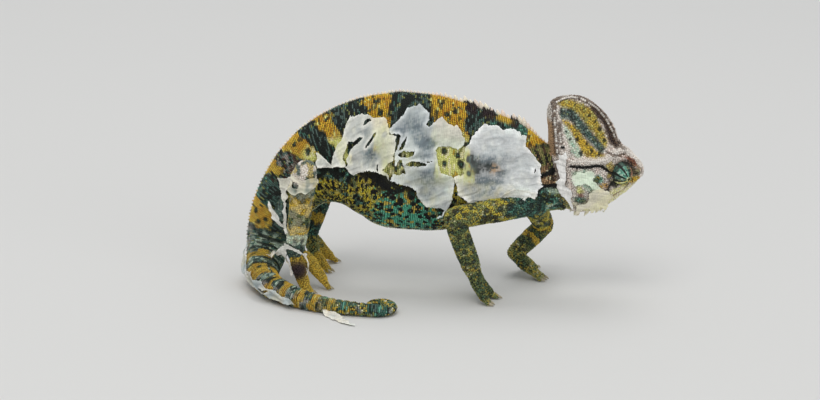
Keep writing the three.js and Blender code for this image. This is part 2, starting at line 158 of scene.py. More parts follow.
def circle(aside, other, around, thin=1):  # steps round a circle, flattened by thin, and their angles
    angles = np.arange(around) / around * 2 * math.pi
    return np.cos(angles)[:, None] * aside + thin * np.sin(angles)[:, None] * other, angles


def addObject(name, data):
    added = bpy.data.objects.new(name, data)
    scene.collection.objects.link(added)
    return added


def makeMesh(name, points, faces):
    mesh = bpy.data.meshes.new(name)
    mesh.from_pydata(toFrame(points).tolist(), [], [list(face) for face in faces])
    mesh.update()
    mesh.polygons.foreach_set("use_smooth", [True] * len(mesh.polygons))
    return addObject(name, mesh)


def plainMesh(piece):  # what a piece's modifiers make of it, in its place
    evaluated = piece.evaluated_get(bpy.context.evaluated_depsgraph_get())
    mesh = bpy.data.meshes.new_from_object(evaluated)
    bpy.data.objects.remove(piece)
    return mesh


def ringFaces(ringCount, around, base=0):  # quads over a stack of closed rings
    ring, spot = np.meshgrid(np.arange(ringCount - 1), np.arange(around), indexing="ij")
    here = base + ring * around + spot
    beside = base + ring * around + (spot + 1) % around
    return np.stack([here, beside, beside + around, here + around], -1).reshape(-1, 4)


def closedLoft(rings):  # rings is (count, around, 3); gives points and faces, both ends closed
    count, around = rings.shape[:2]
    points = rings.reshape(-1, 3)
    faces = [tuple(face) for face in ringFaces(count, around)]
    for end, turn in ((0, -1), (count - 1, 1)):
        middle = len(points)
        points = np.vstack([points, rings[end].mean(0)])
        for spot in range(around):
            pair = (end * around + spot, end * around + (spot + 1) % around)[::turn]
            faces.append((middle, *pair))
    return points, faces


def joinParts(parts):
    points, faces, base = [], [], 0
    for partPoints, partFaces in parts:
        points.append(partPoints)
        faces.extend(tuple(int(v) + base for v in face) for face in partFaces)
        base += len(partPoints)
    return np.vstack(points), faces


def setColour(mesh, name, colours):  # a colour for each point, or one for all
    layer = mesh.attributes.new(name, "FLOAT_COLOR", "POINT")
    colours = np.broadcast_to(colours, (len(mesh.vertices), 3))
    rows = np.hstack([colours, np.ones((len(colours), 1))])
    layer.data.foreach_set("color", rows.astype(np.float32).ravel())


def setVector(mesh, name, vectors):
    layer = mesh.attributes.new(name, "FLOAT_VECTOR", "POINT")
    layer.data.foreach_set("vector", np.asarray(vectors, np.float32).ravel())


# camera, floor and light

viewing = {
    "elevation": 16.0,  # degrees above the floor
    "roll": 3.0,
    "target": (-11.87, 0.0, 33.0),  # what the middle of the picture looks at, mm
    "distance": 1000.0,  # mm
    "fieldWidth": 303.7,  # mm seen across the picture at the target
    "sensor": 36.0,
}


def addCamera():
    elevation, roll = math.radians(viewing["elevation"]), math.radians(viewing["roll"])
    lifted = Vector((0, math.sin(elevation), math.cos(elevation)))
    rightward = math.cos(roll) * Vector((1, 0, 0)) + math.sin(roll) * lifted
    upward = math.cos(roll) * lifted - math.sin(roll) * Vector((1, 0, 0))
    backward = rightward.cross(upward)
    data = bpy.data.cameras.new("camera")
    data.sensor_width = viewing["sensor"]
    data.lens = viewing["sensor"] * viewing["distance"] / viewing["fieldWidth"]
    data.clip_start = 0.01
    camera = addObject("camera", data)
    placed = Matrix((rightward, upward, backward)).transposed().to_4x4()
    placed.translation = Vector(toFrame(viewing["target"])) + backward * viewing["distance"] * metresPerMm
    camera.matrix_world = placed
    scene.camera = camera


lighting = {
    "key": {"place": (-0.35, -0.9, 1.6), "size": 1.0, "power": 11.0, "tint": (1.0, 0.98, 0.95)},
    "fill": {"place": (1.4, -1.1, 0.7), "size": 1.0, "power": 3.0, "tint": (0.95, 0.98, 1.0)},
    "top": {"place": (0.1, 0.6, 1.8), "size": 1.2, "power": 9.0, "tint": (1.0, 1.0, 1.0)},
    "world": (0.80, 0.81, 0.82),
    "worldStrength": 0.62,
    "floor": (0.70, 0.70, 0.69),
}


def addLights():
    for name in ("key", "fill", "top"):
        light = lighting[name]
        data = bpy.data.lights.new(name, "AREA")
        data.size = light["size"]
        data.energy = light["power"]
        data.color = light["tint"]
        lamp = addObject(name, data)
        place = Vector(light["place"])
        lamp.location = place
        lamp.rotation_euler = (Vector((0, 0, 0.03)) - place).to_track_quat("-Z", "Y").to_euler()
    world = bpy.data.worlds.new("studio")
    world.use_nodes = True
    background = world.node_tree.nodes["Background"]
    background.inputs["Color"].default_value = (*lighting["world"], 1)
    background.inputs["Strength"].default_value = lighting["worldStrength"]
    scene.world = world
    scene.view_settings.view_transform = "Standard"


def addFloor():
    half = 12000.0
    corners = [(-half, -half, 0), (half, -half, 0), (half, half, 0), (-half, half, 0)]
    floor = makeMesh("floor", corners, [(0, 1, 2, 3)])
    material = bpy.data.materials.new("paleFloor")
    material.use_nodes = True
    shader = material.node_tree.nodes["Principled BSDF"]
    shader.inputs["Base Color"].default_value = (*lighting["floor"], 1)
    shader.inputs["Roughness"].default_value = 0.8
    floor.data.materials.append(material)


addCamera()
addLights()
addFloor()

# the body axis

# x, y, z of the middle, half the height, half the width, and how much wider the section is low down
bodyStations = [
    (45.5, 0.6, 43.6, 10.2, 6.6, 0.1), (39.2, 0.2, 42.7, 11.8, 7.4, 0.15), (31.7, 0, 43.9, 15.6, 8.6, 0.22),
    (21.8, 0, 46, 19.8, 9.8, 0.28), (8.8, 0, 46.8, 23.4, 10.9, 0.3), (-4.8, 0, 47.6, 25.9, 11.5, 0.3),
    (-17.8, 0, 48.2, 26, 11.4, 0.28), (-30.5, 0, 48.6, 22.4, 10.6, 0.24), (-41.3, 0, 46.6, 17.6, 9.6, 0.18),
    (-50, 0, 41.6, 13.7, 8.6, 0.14), (-56.1, 0, 34.1, 11.4, 7.8, 0.1), (-60.4, 0, 25.2, 10.2, 7.2, 0.06),
    (-62.8, -0.2, 16.6, 8.9, 6.6, 0.03), (-64.2, -4.4, 9.6, 7.2, 5.9, 0), (-64.6, -13.4, 5.8, 5.9, 5.3, 0),
    (-61, -22.8, 4.5, 4.85, 4.6, 0), (-54, -30.6, 3.8, 4.05, 3.95, 0), (-45.4, -35.6, 3.2, 3.4, 3.35, 0),
    (-36.4, -38.3, 2.7, 2.9, 2.85, 0), (-28.6, -39.1, 2.45, 2.6, 2.6, 0),
]
tailCoil = {"x": -21.6, "y": -33.2, "radius": 6, "inner": 0.9, "turns": 1.25, "thick": 2.45, "tip": 0.95,
            "step": 30}


def allStations():
    rows = list(bodyStations)
    steps = round(tailCoil["turns"] * 360 / tailCoil["step"])
    for step in range(steps + 1):
        share = step / steps
        radius = tailCoil["radius"] + (tailCoil["inner"] - tailCoil["radius"]) * share
        angle = math.radians(-90 + step * tailCoil["step"])
        thick = tailCoil["thick"] + (tailCoil["tip"] - tailCoil["thick"]) * share
        rows.append((tailCoil["x"] + radius * math.cos(angle), tailCoil["y"] + radius * math.sin(angle),
                     thick * 0.95, thick, thick, 0.0))
    return np.array(rows)


def bodyTable():  # the axis worked out at close steps, with a frame carried along it
    rows = allStations()
    places = np.linspace(0, len(rows) - 1, 50 * (len(rows) - 1) + 1)
    centre = curveThrough(rows[:, :3], places)
    size = curveThrough(rows[:, 3:], places)
    along = unit(np.gradient(centre, axis=0))
    sideways = np.zeros_like(centre)
    carried = np.array([0.0, 1.0, 0.0])
    for i, forward in enumerate(along):
        carried = carried - carried @ forward * forward
        carried /= np.linalg.norm(carried)
        sideways[i] = carried
    up = np.cross(sideways, along)
    return {"place": places, "columns": np.hstack([centre, along, sideways, up, size]),
            "back": runLength(centre + up * size[:, :1])}


axisTable = bodyTable()
lastPlace = axisTable["place"][-1]


def axisAt(places):
    row = np.stack([np.interp(places, axisTable["place"], column) for column in axisTable["columns"].T], -1)
    return {"centre": row[..., :3], "along": unit(row[..., 3:6]), "sideways": unit(row[..., 6:9]),
            "up": unit(row[..., 9:12]), "half": row[..., 12], "side": row[..., 13], "lean": row[..., 14]}


def backAt(places):  # mm along the line of the back
    return np.interp(places, axisTable["place"], axisTable["back"])


def placeAtBack(arc):
    return np.interp(arc, axisTable["back"], axisTable["place"])


def bodyPoint(places, angles, grow):  # angle 0 is the ridge of the back and grows to the animal's left
    f = axisAt(places)
    across = (f["side"] + grow) * np.sin(angles) * (1 - f["lean"] * np.cos(angles))
    high = (f["half"] + grow) * np.cos(angles)
    return f["centre"] + f["sideways"] * across[..., None] + f["up"] * high[..., None]


def bodyRings(grow, around=72):
    places = np.concatenate([np.arange(0, 20, 0.06), np.arange(20, lastPlace, 0.12), [lastPlace]])
    angles = np.arange(around) / around * 2 * math.pi
    each = np.ones((len(places), around))
    return places, angles, bodyPoint(places[:, None] * each, each * angles, grow)


# the head, in its own frame: x forwards from the cheek, z up

# z, rear, front, half width, where it is widest, fullness and softness of its front, half the front ridge
headSlices = [
    (-16, -5.5, 0.8, 1.3, 0.5, 2, 0.5, 0.4), (-15, -8, 4.2, 3.4, 0.45, 2, 0.55, 0.8),
    (-12.8, -11.2, 8.2, 6, 0.36, 1.8, 0.6, 1.2), (-9.4, -13.4, 12.9, 8, 0.32, 1.7, 0.62, 1.8),
    (-5.6, -14.6, 17.3, 9, 0.3, 1.6, 0.62, 2.2), (-2.4, -14.8, 19.9, 9.3, 0.3, 1.55, 0.6, 2.4),
    (0.4, -14.8, 20, 9.3, 0.28, 1.5, 0.62, 2.5), (3.2, -14.9, 17.9, 9.1, 0.26, 1.7, 0.6, 3.2),
    (6, -15.1, 15.2, 8.8, 0.24, 1.9, 0.6, 3.6), (8.6, -15.4, 12.4, 8.3, 0.2, 1.7, 0.7, 2.6),
    (11.2, -15.7, 10.6, 7.5, 0.16, 1.1, 1, 1.5), (15.4, -15.9, 9.1, 6.4, 0.14, 1, 1, 1.3),
    (20.2, -16.5, 6.1, 5, 0.14, 1, 1, 1.3), (24.2, -16.2, 2.3, 3.6, 0.16, 1, 0.9, 1.3),
    (26.9, -14, -1.6, 2.3, 0.3, 1.5, 0.7, 1.2), (28.2, -10.4, -5, 1.1, 0.5, 2, 0.5, 0.6),
]
headPlace = {"at": (54.1, 1.2, 48.2), "yaw": 8.0, "pitch": 3.0}
eye = {"x": 10.3, "y": 5.5, "z": -0.4, "radius": 4.1, "reach": 4.9, "yaw": 62.0, "dip": 18.0}


def headMatrix():
    return (Matrix.Translation(headPlace["at"]) @ Matrix.Rotation(math.radians(headPlace["yaw"]), 4, "Z")
            @ Matrix.Rotation(-math.radians(headPlace["pitch"]), 4, "Y"))


headTurn = np.array(headMatrix())[:3, :3]


def headToBody(points):
    return points @ headTurn.T + np.array(headPlace["at"])


def bodyToHead(points):
    return (points - np.array(headPlace["at"])) @ headTurn


def headWidth(row, share, grow=0.0):
    peak, full, soft, edge = row[..., 4], row[..., 5], row[..., 6], row[..., 7]
    behind = np.clip((peak - share) / peak, 0, 1)
    ahead = np.clip((share - peak) / (1 - peak), 0, 1)
    width = np.where(behind > 0, (1 - behind**3) ** 0.4, (1 - ahead**full) ** soft)
    tip = np.where(share > 0.93, np.sqrt(np.clip(1 - ((share - 0.93) / 0.07) ** 2, 0, 1)), 1)
    return np.maximum((row[..., 3] + grow) * width, np.where(behind > 0, 0, edge * tip))


def headRings(grow, steps=44):
    places = np.linspace(0, len(headSlices) - 1, 8 * (len(headSlices) - 1) + 1)
    rows = curveThrough(headSlices, places)
    shares = (1 - np.cos(np.arange(steps + 1) / steps * math.pi)) / 2
    halves = []
    for row in rows:
        rear = row[1] - grow
        x = rear + (row[2] + grow - rear) * shares
        y = headWidth(row, shares, grow)
        left = np.stack([x, y, np.full_like(x, row[0])], -1)
        halves.append(np.vstack([left, (left * (1, -1, 1))[-2:0:-1]]))
    return np.array(halves)


# the legs

# a joint is x, y, z, radius; a foot has two opposed bundles: knuckle, root of the toes, their end and number
legs = {
    "forelegRight": {
        "joints": [(33.5, -6.5, 35.6, 4.2), (4.1, -18.4, 32.6, 3.9), (12.4, -16.2, 12.2, 3.5)],
        "bundles": [((14.4, -18.4, 7.4, 2.5), (17.2, -19.4, 2.8, 1.9), (19, -19.9), 2),
                    ((15, -13.2, 6.9, 2.6), (19, -11.2, 2.4, 2), (21.4, -10.2), 3)],
    },
    "forelegLeft": {
        "joints": [(32.5, 6.5, 34.6, 4.2), (39.8, 25, 18.8, 3.8), (29, 19.6, 8.8, 3.4)],
        "bundles": [((31.8, 24, 5.2, 2.4), (35.4, 27.4, 2.3, 1.9), (37.4, 29), 2),
                    ((32.6, 17.4, 5.2, 2.5), (37.2, 15.4, 2.3, 2), (39.6, 14.4), 3)],
    },
    "hindlegRight": {
        "joints": [(-56.5, -5.6, 24.6, 5.6), (-50, -20.4, 48, 4.2), (-53, -15.8, 15.6, 3.5)],
        "bundles": [((-51, -17.6, 9, 2.8), (-48.4, -18.6, 3, 2.1), (-46.4, -19), 3),
                    ((-47.4, -13.2, 11.2, 2.7), (-42.2, -11.6, 4, 1.9), (-40.4, -10.8), 2)],
    },
    "hindlegLeft": {
        "joints": [(-56.5, 5.6, 24.6, 5.4), (-42.6, 21, 37.4, 4.3), (-49.4, 17.2, 12.8, 3.4)],
        "bundles": [((-46.4, 20.6, 8, 2.7), (-41.8, 23.2, 2.9, 2), (-39.6, 24.4), 3),
                    ((-47, 13.6, 6.6, 2.6), (-43, 11.4, 2.6, 1.9), (-41, 10.2), 2)],
    },
}
# radii and distances in mm; swell is how much a leg bulges between its joints, as a share of its length
toe = {"radius": 1.12, "spread": 1.75, "wrist": 2.9, "swell": 0.016, "clawLength": 2, "clawRadius": 0.6,
       "clawTone": (176, 166, 140), "floorGap": 0.05}


def limbBars():  # every bone as a tapered bar; stage 0-1 upper, 1-2 lower, 2-3 palm, 3-4 knuckle, 4-5 toe
    bars, claws = [], []

    def addBar(limb, stage, a, b, swell=0):
        a, b = np.array(a), np.array(b)
        run = b[:3] - a[:3]
        length = np.linalg.norm(run)
        along = run / length
        aside = unit(np.cross(along, [0.31, 0.87, 0.38]))
        bars.append({
            "limb": limb, "stage": stage, "a": a[:3], "radii": (a[3], b[3]), "run": run, "length": length,
            "along": along, "aside": aside, "other": np.cross(along, aside), "swell": swell * length})

    for name, leg in legs.items():
        upper, middle, lower = leg["joints"]
        addBar(name, 0, upper, middle, toe["swell"])
        addBar(name, 1, middle, lower, toe["swell"])
        for knuckle, root, end, count in leg["bundles"]:
            addBar(name, 2, [*lower[:3], toe["wrist"]], knuckle)
            addBar(name, 3, knuckle, root)
            tip = np.array([*end, toe["radius"] * 0.78])
            ahead = unit(np.array([tip[0] - root[0], tip[1] - root[1], 0]))
            across = np.array([-ahead[1], ahead[0], 0])
            for i in range(count):
                off = (i - (count - 1) / 2) * toe["spread"]
                start = np.array(root[:3]) + across * off * 0.8
                finish = tip + across * off * 1.15
                addBar(name, 4, [*start, toe["radius"] * 1.15], [*finish, toe["radius"]])
                claws.append((finish, ahead))
    return bars, claws


bars, clawPlaces = limbBars()


def barRings(bar, grow, around=24):
    ra, rb = (radius + grow for radius in bar["radii"])
    length = bar["length"]
    ends = np.radians(np.linspace(-90, 0, 7)[1:])
    steps = np.linspace(0, 1, max(3, int(length)))[1:-1]
    at = np.concatenate([ra * np.sin(ends), steps * length, length - rb * np.sin(ends[::-1])])
    middle = ra + (rb - ra) * steps + bar["swell"] * np.sin(steps * math.pi)
    radius = np.concatenate([ra * np.cos(ends), middle, rb * np.cos(ends[::-1])])
    ring, _ = circle(bar["aside"], bar["other"], around)
    return bar["a"] + bar["along"] * at[:, None, None] + ring * radius[:, None, None]


# one skin over all the flesh

skinShape = {
    "voxel": 0.56,  # mm
    "evenPasses": 3,
    "jointPasses": 26,
    "jointReach": (8.75, 4.2, 3.5),  # mm round the top, the middle and the lower joint of each leg
    "floorGap": 0.06,
}


def flatten(rings):  # what touches the floor is trimmed flat there
    rings = rings.copy()
    rings[..., 2] = np.maximum(rings[..., 2], coatDepth)
    return rings


def rawSkin():
    parts = [closedLoft(flatten(bodyRings(-coatDepth)[2])), closedLoft(headToBody(headRings(-coatDepth)))]
    parts += [closedLoft(flatten(barRings(bar, -coatDepth))) for bar in bars]
    piece = makeMesh("rawSkin", *joinParts(parts))
    remesh = piece.modifiers.new("remesh", "REMESH")
    remesh.mode = "VOXEL"
    remesh.voxel_size = skinShape["voxel"] * metresPerMm
    return plainMesh(piece)


def readAll(items, field, width, kind=np.float32):
    flat = np.zeros(len(items) * width, kind)
    items.foreach_get(field, flat)
    return flat.reshape(-1, width)


def putPoints(mesh, points):
    mesh.vertices.foreach_set("co", toFrame(points).astype(np.float32).ravel())
    mesh.update()


def relax(points, edges, weight, passes):  # moves each point towards the middle of its neighbours
    count = len(points)
    a, b = edges.T
    valence = np.bincount(edges.ravel(), minlength=count)[:, None]
    for _ in range(passes):
        sums = [np.bincount(a, column[b], count) + np.bincount(b, column[a], count) for column in points.T]
        middle = np.stack(sums, -1) / np.maximum(valence, 1)
        points = points + (middle - points) * weight[:, None]
    return points


skinMesh = rawSkin()
skinEdges = readAll(skinMesh.edges, "vertices", 2, np.int32)
skinPoints = readAll(skinMesh.vertices, "co", 3) / metresPerMm + modelCentre
jointWeight = np.zeros(len(skinPoints))
for leg in legs.values():
    for joint, reach in zip(leg["joints"], skinShape["jointReach"]):
        away = np.linalg.norm(skinPoints - np.array(joint[:3]), axis=1)
        jointWeight = np.maximum(jointWeight, np.exp(-((away / reach) ** 4)))
skinPoints = relax(skinPoints, skinEdges, np.full(len(skinPoints), 0.5), skinShape["evenPasses"])
skinPoints = relax(skinPoints, skinEdges, jointWeight * 0.6, skinShape["jointPasses"])
putPoints(skinMesh, skinPoints)
report(f"raw skin, {len(skinMesh.polygons)} faces")


# where on the animal a point is

def sampleSurfaces():  # points of the body's and head's own surfaces, to find which one is nearest
    places, angles, rings = bodyRings(-coatDepth)
    count, around = rings.shape[:2]
    body = {"points": rings.reshape(-1, 3), "place": np.repeat(places, around),
            "angle": np.tile(angles, count)}
    head = headToBody(headRings(-coatDepth)).reshape(-1, 3)
    return body, head


def treeOf(points):
    tree = KDTree(len(points))
    for i, p in enumerate(points):
        tree.insert(p, i)
    tree.balance()
    return tree


bodySamples, headSamples = sampleSurfaces()
bodyTree, headTree = treeOf(bodySamples["points"]), treeOf(headSamples)
mapNames = ["body", "head", *legs]


def nearBody(points):  # place, angle and distance for points near the trunk and tail
    found = [bodyTree.find(p) for p in points]
    index = np.array([hit[1] for hit in found])
    far = np.array([hit[2] for hit in found])
    place = bodySamples["place"][index]
    step, damping = 0.05, 0.7
    for _ in range(2):
        f = axisAt(place)
        ahead = axisAt(place + step)["centre"] - f["centre"]
        rate = np.maximum(np.linalg.norm(ahead, axis=1) / step, 1)
        off = points - f["centre"]
        place = np.clip(place + damping * (off * f["along"]).sum(1) / rate, 0, lastPlace - 0.06)
    f = axisAt(place)
    off = points - f["centre"]
    high = (off * f["up"]).sum(1) / f["half"]
    across = (off * f["sideways"]).sum(1) / f["side"]
    angle = np.arctan2(across / np.maximum(1 - f["lean"] * np.clip(high, -1, 1), 0.5), high)
    return place, angle, far


def nearBars(points):  # the nearest bar, the share along it, the angle round it, and how far it is
    best = np.full(len(points), 1e9)
    chosen = np.zeros(len(points), int)
    share = np.zeros(len(points))
    for i, bar in enumerate(bars):
        run, (ra, rb) = bar["run"], bar["radii"]
        at = np.clip((points - bar["a"]) @ run / (run @ run), 0, 1)
        radius = ra + (rb - ra) * at + bar["swell"] * np.sin(at * math.pi)
        away = np.linalg.norm(points - bar["a"] - at[:, None] * run, axis=1) - radius
        closer = away < best
        best[closer], share[closer], chosen[closer] = away[closer], at[closer], i
    angle = np.zeros(len(points))
    for i, bar in enumerate(bars):
        mine = chosen == i
        off = points[mine] - bar["a"]
        angle[mine] = np.arctan2(off @ bar["other"], off @ bar["aside"])
    return chosen, share, angle, best + coatDepth


def locate(points):
    place, angle, bodyFar = nearBody(points)
    headFar = np.array([headTree.find(p)[2] for p in points])
    bar, share, barAngle, barFar = nearBars(points)
    limb = np.array([mapNames.index(b["limb"]) for b in bars])[bar]
    stage = np.array([b["stage"] for b in bars])[bar] + share
    nearest = np.stack([bodyFar, headFar, np.abs(barFar)], -1).argmin(1)
    region = np.where(nearest == 2, limb, nearest)
    head = bodyToHead(points)
    girth = axisAt(place)["half"] * np.abs(angle)
    return {"points": points, "region": region, "place": place, "angle": angle, "back": backAt(place),
            "height": np.cos(angle), "down": girth, "head": head, "bar": bar, "share": share, "stage": stage,
            "barAngle": barAngle}


skinPlace = locate(skinPoints)
report("skin points located")

# folds and ridges of the skin

headLines = {  # in the head's side view
    "temple": [(-12.6, 10), (-10.5, 6.6), (-7.5, 5.4), (-4, 5.6), (0.3, 5), (4.2, 5.4), (7, 6.6)],
    "brow": [(7, 6.6), (9.8, 7.8), (13.1, 7.2), (16.4, 4.8), (19.2, 1.6)],
    "cheek": [(-9.1, 3.6), (-6.3, 3.3), (-3, 3.1), (0.3, 3.4), (2.6, 3), (4.2, 1.7), (6.4, 0.1), (9.2, -1)],
    "groove": [(0.6, 23.6), (3.9, 19.4), (5.6, 16.7), (7, 13.3), (7.8, 10.6), (9, 9.6)],
    "topRim": [(9.2, 10.6), (7.7, 14.6), (5.2, 19.2), (1.8, 23.4), (-1.6, 25.9), (-4.8, 27.5), (-8, 28),
        (-11, 27.6), (-13.6, 26.4)],
    "rearRim": [(-14.4, 25.6), (-14.6, 20), (-14.2, 14), (-13.8, 8.5)],
    "innerRim": [(-12.7, 19), (-12.9, 16), (-12.5, 12.5)],
    "mouth": [(2.4, -11.6), (8, -8.9), (13, -6.4), (17, -4.5), (19.4, -3.3)],
    "lip": [(19.2, -2.2), (16.6, -3.8), (13, -5.6), (8, -8), (3, -10.4)],
    "jaw": [(-10.5, 2), (-10.8, -3), (-9.8, -9)],
    "neckFold": [(-12.8, 3), (-12.6, -3), (-11, -9)],
    "underEye": [(5.4, -7.6), (5.6, -5.4), (6.8, -3.2), (9, -3.4)],
    "browFold": [(4.6, 8), (6.4, 6.9), (9, 6.2), (12, 6.4)],
}
headRelief = [("temple", 1.1, 0.7), ("brow", 0.9, 0.55), ("cheek", 0.5, -0.6), ("groove", 0.7, -0.6),
              ("topRim", 0.8, 0.25), ("rearRim", 0.8, 0.3), ("mouth", 0.42, -0.55), ("lip", 0.9, 0.3),
              ("jaw", 0.9, -0.4), ("neckFold", 1.0, 0.3), ("underEye", 0.55, -0.4),
              ("browFold", 0.4, -0.3)]  # which line, how wide, how high
nostril = {"x": 16.4, "z": -1.3, "radius": 0.55, "depth": 0.55}
eyeSocket = {"ring": 5.0, "ringWidth": 0.7, "ringHeight": 0.4, "inside": 4.4, "depth": 0.7}


def reliefOf(place):  # how far each skin point moves out, mm
    x, y, z = place["head"].T
    onHead = place["region"] == 1
    moved = np.zeros(len(x))
    for line, width, height in headRelief:
        moved += height * hump((lineDistance(x, z, headLines[line]), 0, width)) * ramp(np.abs(y), 0.3, 1.4)
    hole = (x - nostril["x"]) ** 2 + (z - nostril["z"]) ** 2
    moved -= nostril["depth"] * np.exp(-(hole / nostril["radius"] ** 2))
    toEye = np.sqrt((x - eye["x"] - 0.9) ** 2 + (z - eye["z"]) ** 2)
    ring = (toEye - eyeSocket["ring"]) / eyeSocket["ringWidth"]
    moved += eyeSocket["ringHeight"] * np.exp(-(ring**2))
    moved -= eyeSocket["depth"] * ramp(toEye, eyeSocket["inside"] + 0.5, eyeSocket["inside"] - 0.9)
    moved += 0.5 * hump((x, -3.5, 5), (z, -5, 4))  # the swell of the jaw muscle
    moved += 0.22 * (noise(place["points"], 2.2, 4) - 0.5)
    head = np.where(onHead, moved, 0)

    back, height = place["back"], place["height"]
    onBody = place["region"] == 0

    def waves(high, slant, pitch):  # folds across the back line, mm high and mm apart
        return high * np.sin((back + slant * height) * 2 * math.pi / pitch)

    folds = waves(0.5, 2.5, 3.1) * within(back, 1, 13, 2) * ramp(height, 0.85, 0.4)
    ribs = waves(0.2, 5, 5.2) * within(back, 24, 100, 8) * within(height, -0.6, 0.5, 0.3)
    tailFolds = waves(0.14, 0, 2.9) * ramp(back, 165, 175) * ramp(back, 236, 222)
    loose = 0.35 * (noise(place["points"], 4.5, 2) - 0.5)
    body = np.where(onBody, folds + ribs + tailFolds + loose, 0)

    stage = place["stage"]
    onLeg = place["region"] >= 2
    creases = 0.0
    for middle, reach, pitch in ((1.0, 0.16, 0.055), (2.0, 0.14, 0.07), (3.0, 0.3, 0.2)):
        wave = np.sin((stage - middle) * 2 * math.pi / pitch)
        creases = creases + 0.2 * wave * hump((stage, middle, reach))
    lumps = 0.3 * (noise(place["points"], 1.9, 5) - 0.5)
    leg = np.where(onLeg, creases + lumps, 0)
    return head + body + leg


skinPoints = skinPoints + readAll(skinMesh.vertices, "normal", 3) * reliefOf(skinPlace)[:, None]
skinPoints[:, 2] = np.maximum(skinPoints[:, 2], skinShape["floorGap"])
putPoints(skinMesh, skinPoints)
skinPlace["points"] = skinPoints
skinNormals = readAll(skinMesh.vertices, "normal", 3)

# markings, the same on the skin and on the scales

# each tone: the scales, and the skin between them
tones = {
    "gold": ((220, 182, 54), (92, 64, 14)),
    "amber": ((218, 184, 66), (154, 122, 40)),
    "straw": ((196, 176, 82), (136, 120, 52)),
    "yellow": ((208, 196, 66), (96, 86, 26)),
    "orange": ((196, 140, 40), (100, 62, 14)),
    "lemon": ((228, 230, 146), (186, 186, 102)),
    "olive": ((146, 150, 86), (58, 63, 36)),
    "night": ((30, 38, 32), (10, 13, 11)),
    "black": ((18, 20, 18), (7, 8, 8)),
    "moss": ((94, 106, 62), (32, 40, 24)),
    "slate": ((92, 114, 106), (44, 58, 54)),
    "teal": ((66, 110, 95), (16, 38, 33)),
    "turquoise": ((122, 186, 164), (48, 106, 92)),
    "jade": ((92, 184, 150), (38, 108, 88)),
    "mint": ((208, 226, 206), (168, 186, 162)),
    "bone": ((236, 230, 222), (202, 190, 180)),
    "cream": ((246, 242, 206), (218, 208, 160)),
    "ash": ((202, 196, 188), (134, 124, 114)),
    "rose": ((240, 226, 216), (178, 158, 148)),
    "tan": ((182, 148, 110), (104, 78, 54)),
    "umber": ((104, 82, 62), (48, 37, 28)),
    "rust": ((154, 92, 68), (80, 44, 32)),
    "plum": ((64, 48, 50), (30, 22, 24)),
}

# a patch of one tone is a mosaic: the other tones in it, and how many of its scales take each
mosaics = {
    "night": (("slate", 0.16), ("olive", 0.08), ("teal", 0.07)),
    "gold": (("orange", 0.16), ("olive", 0.04), ("lemon", 0.07)),
    "yellow": (("gold", 0.3), ("olive", 0.16), ("lemon", 0.12)),
    "teal": (("slate", 0.26), ("turquoise", 0.12), ("night", 0.2), ("olive", 0.12)),
    "slate": (("teal", 0.26), ("mint", 0.08), ("night", 0.16), ("olive", 0.1)),
    "olive": (("amber", 0.3), ("teal", 0.22), ("night", 0.12), ("cream", 0.05)),
    "orange": (("gold", 0.42), ("umber", 0.14), ("olive", 0.16)),
    "bone": (("cream", 0.4), ("ash", 0.2), ("olive", 0.07), ("slate", 0.05)),
    "straw": (("amber", 0.4), ("lemon", 0.14), ("olive", 0.2)),
    "amber": (("straw", 0.3), ("olive", 0.22), ("moss", 0.1)),
    "moss": (("teal", 0.24), ("olive", 0.24), ("night", 0.18), ("gold", 0.08)),
    "mint": (("turquoise", 0.12), ("bone", 0.3), ("slate", 0.07)),
    "lemon": (("gold", 0.07), ("cream", 0.2), ("olive", 0.04)),
    "cream": (("lemon", 0.25), ("bone", 0.3), ("tan", 0.06)),
    "rose": (("bone", 0.45), ("ash", 0.16), ("umber", 0.05)),
    "tan": (("umber", 0.36), ("cream", 0.12), ("night", 0.12)),
    "turquoise": (("teal", 0.3), ("mint", 0.2), ("night", 0.08)),
    "jade": (("turquoise", 0.3), ("teal", 0.2), ("night", 0.08)),
    "umber": (("night", 0.3), ("tan", 0.14), ("olive", 0.16)),
    "ash": (("umber", 0.2), ("bone", 0.26), ("rose", 0.2)),
    "rust": (("umber", 0.3), ("tan", 0.2), ("olive", 0.1)),
    "plum": (("umber", 0.2),),
}


def linear(colour):  # screen colour 0-255 to the renderer's
    share = np.asarray(colour, float) / 255
    return np.where(share <= 0.04045, share / 12.92, ((share + 0.055) / 1.055) ** 2.4)


tonePair = {name: (linear(scale), linear(skin)) for name, (scale, skin) in tones.items()}


def brushes(coat, points, cells):  # what paints a coat: a tone, a mosaic of tones, and blotches for a mask
    def lay(tone, mask):
        mask = np.clip(mask, 0, 1)[:, None]
        for layer, colour in zip(("scale", "skin"), tonePair[tone]):
            coat[layer] += (colour - coat[layer]) * mask

    def mosaic(tone, mask, seed, mixed=0.85, own=cells):  # a tone, with its other tones scattered in it
        lay(tone, mask)
        pick = lattice(np.floor(own), seed)
        taken = 0.0
        for other, share in mosaics[tone]:
            lay(other, mask * mixed * ((pick >= taken) & (pick < taken + share)))
            taken += share

    def blotch(size, seed, low, high):
        return ramp(noise(points, size, seed), low, high)

    return lay, mosaic, blotch


def bareCoat(count):
    scale, skin = tonePair["night"]
    return {"scale": np.tile(scale, (count, 1)), "skin": np.tile(skin, (count, 1))}


ridgeTufts = [(38.2, 43.2), (31.2, 35.8), (21.4, 24.8)]  # mm along the back: tall dark scales below the crest
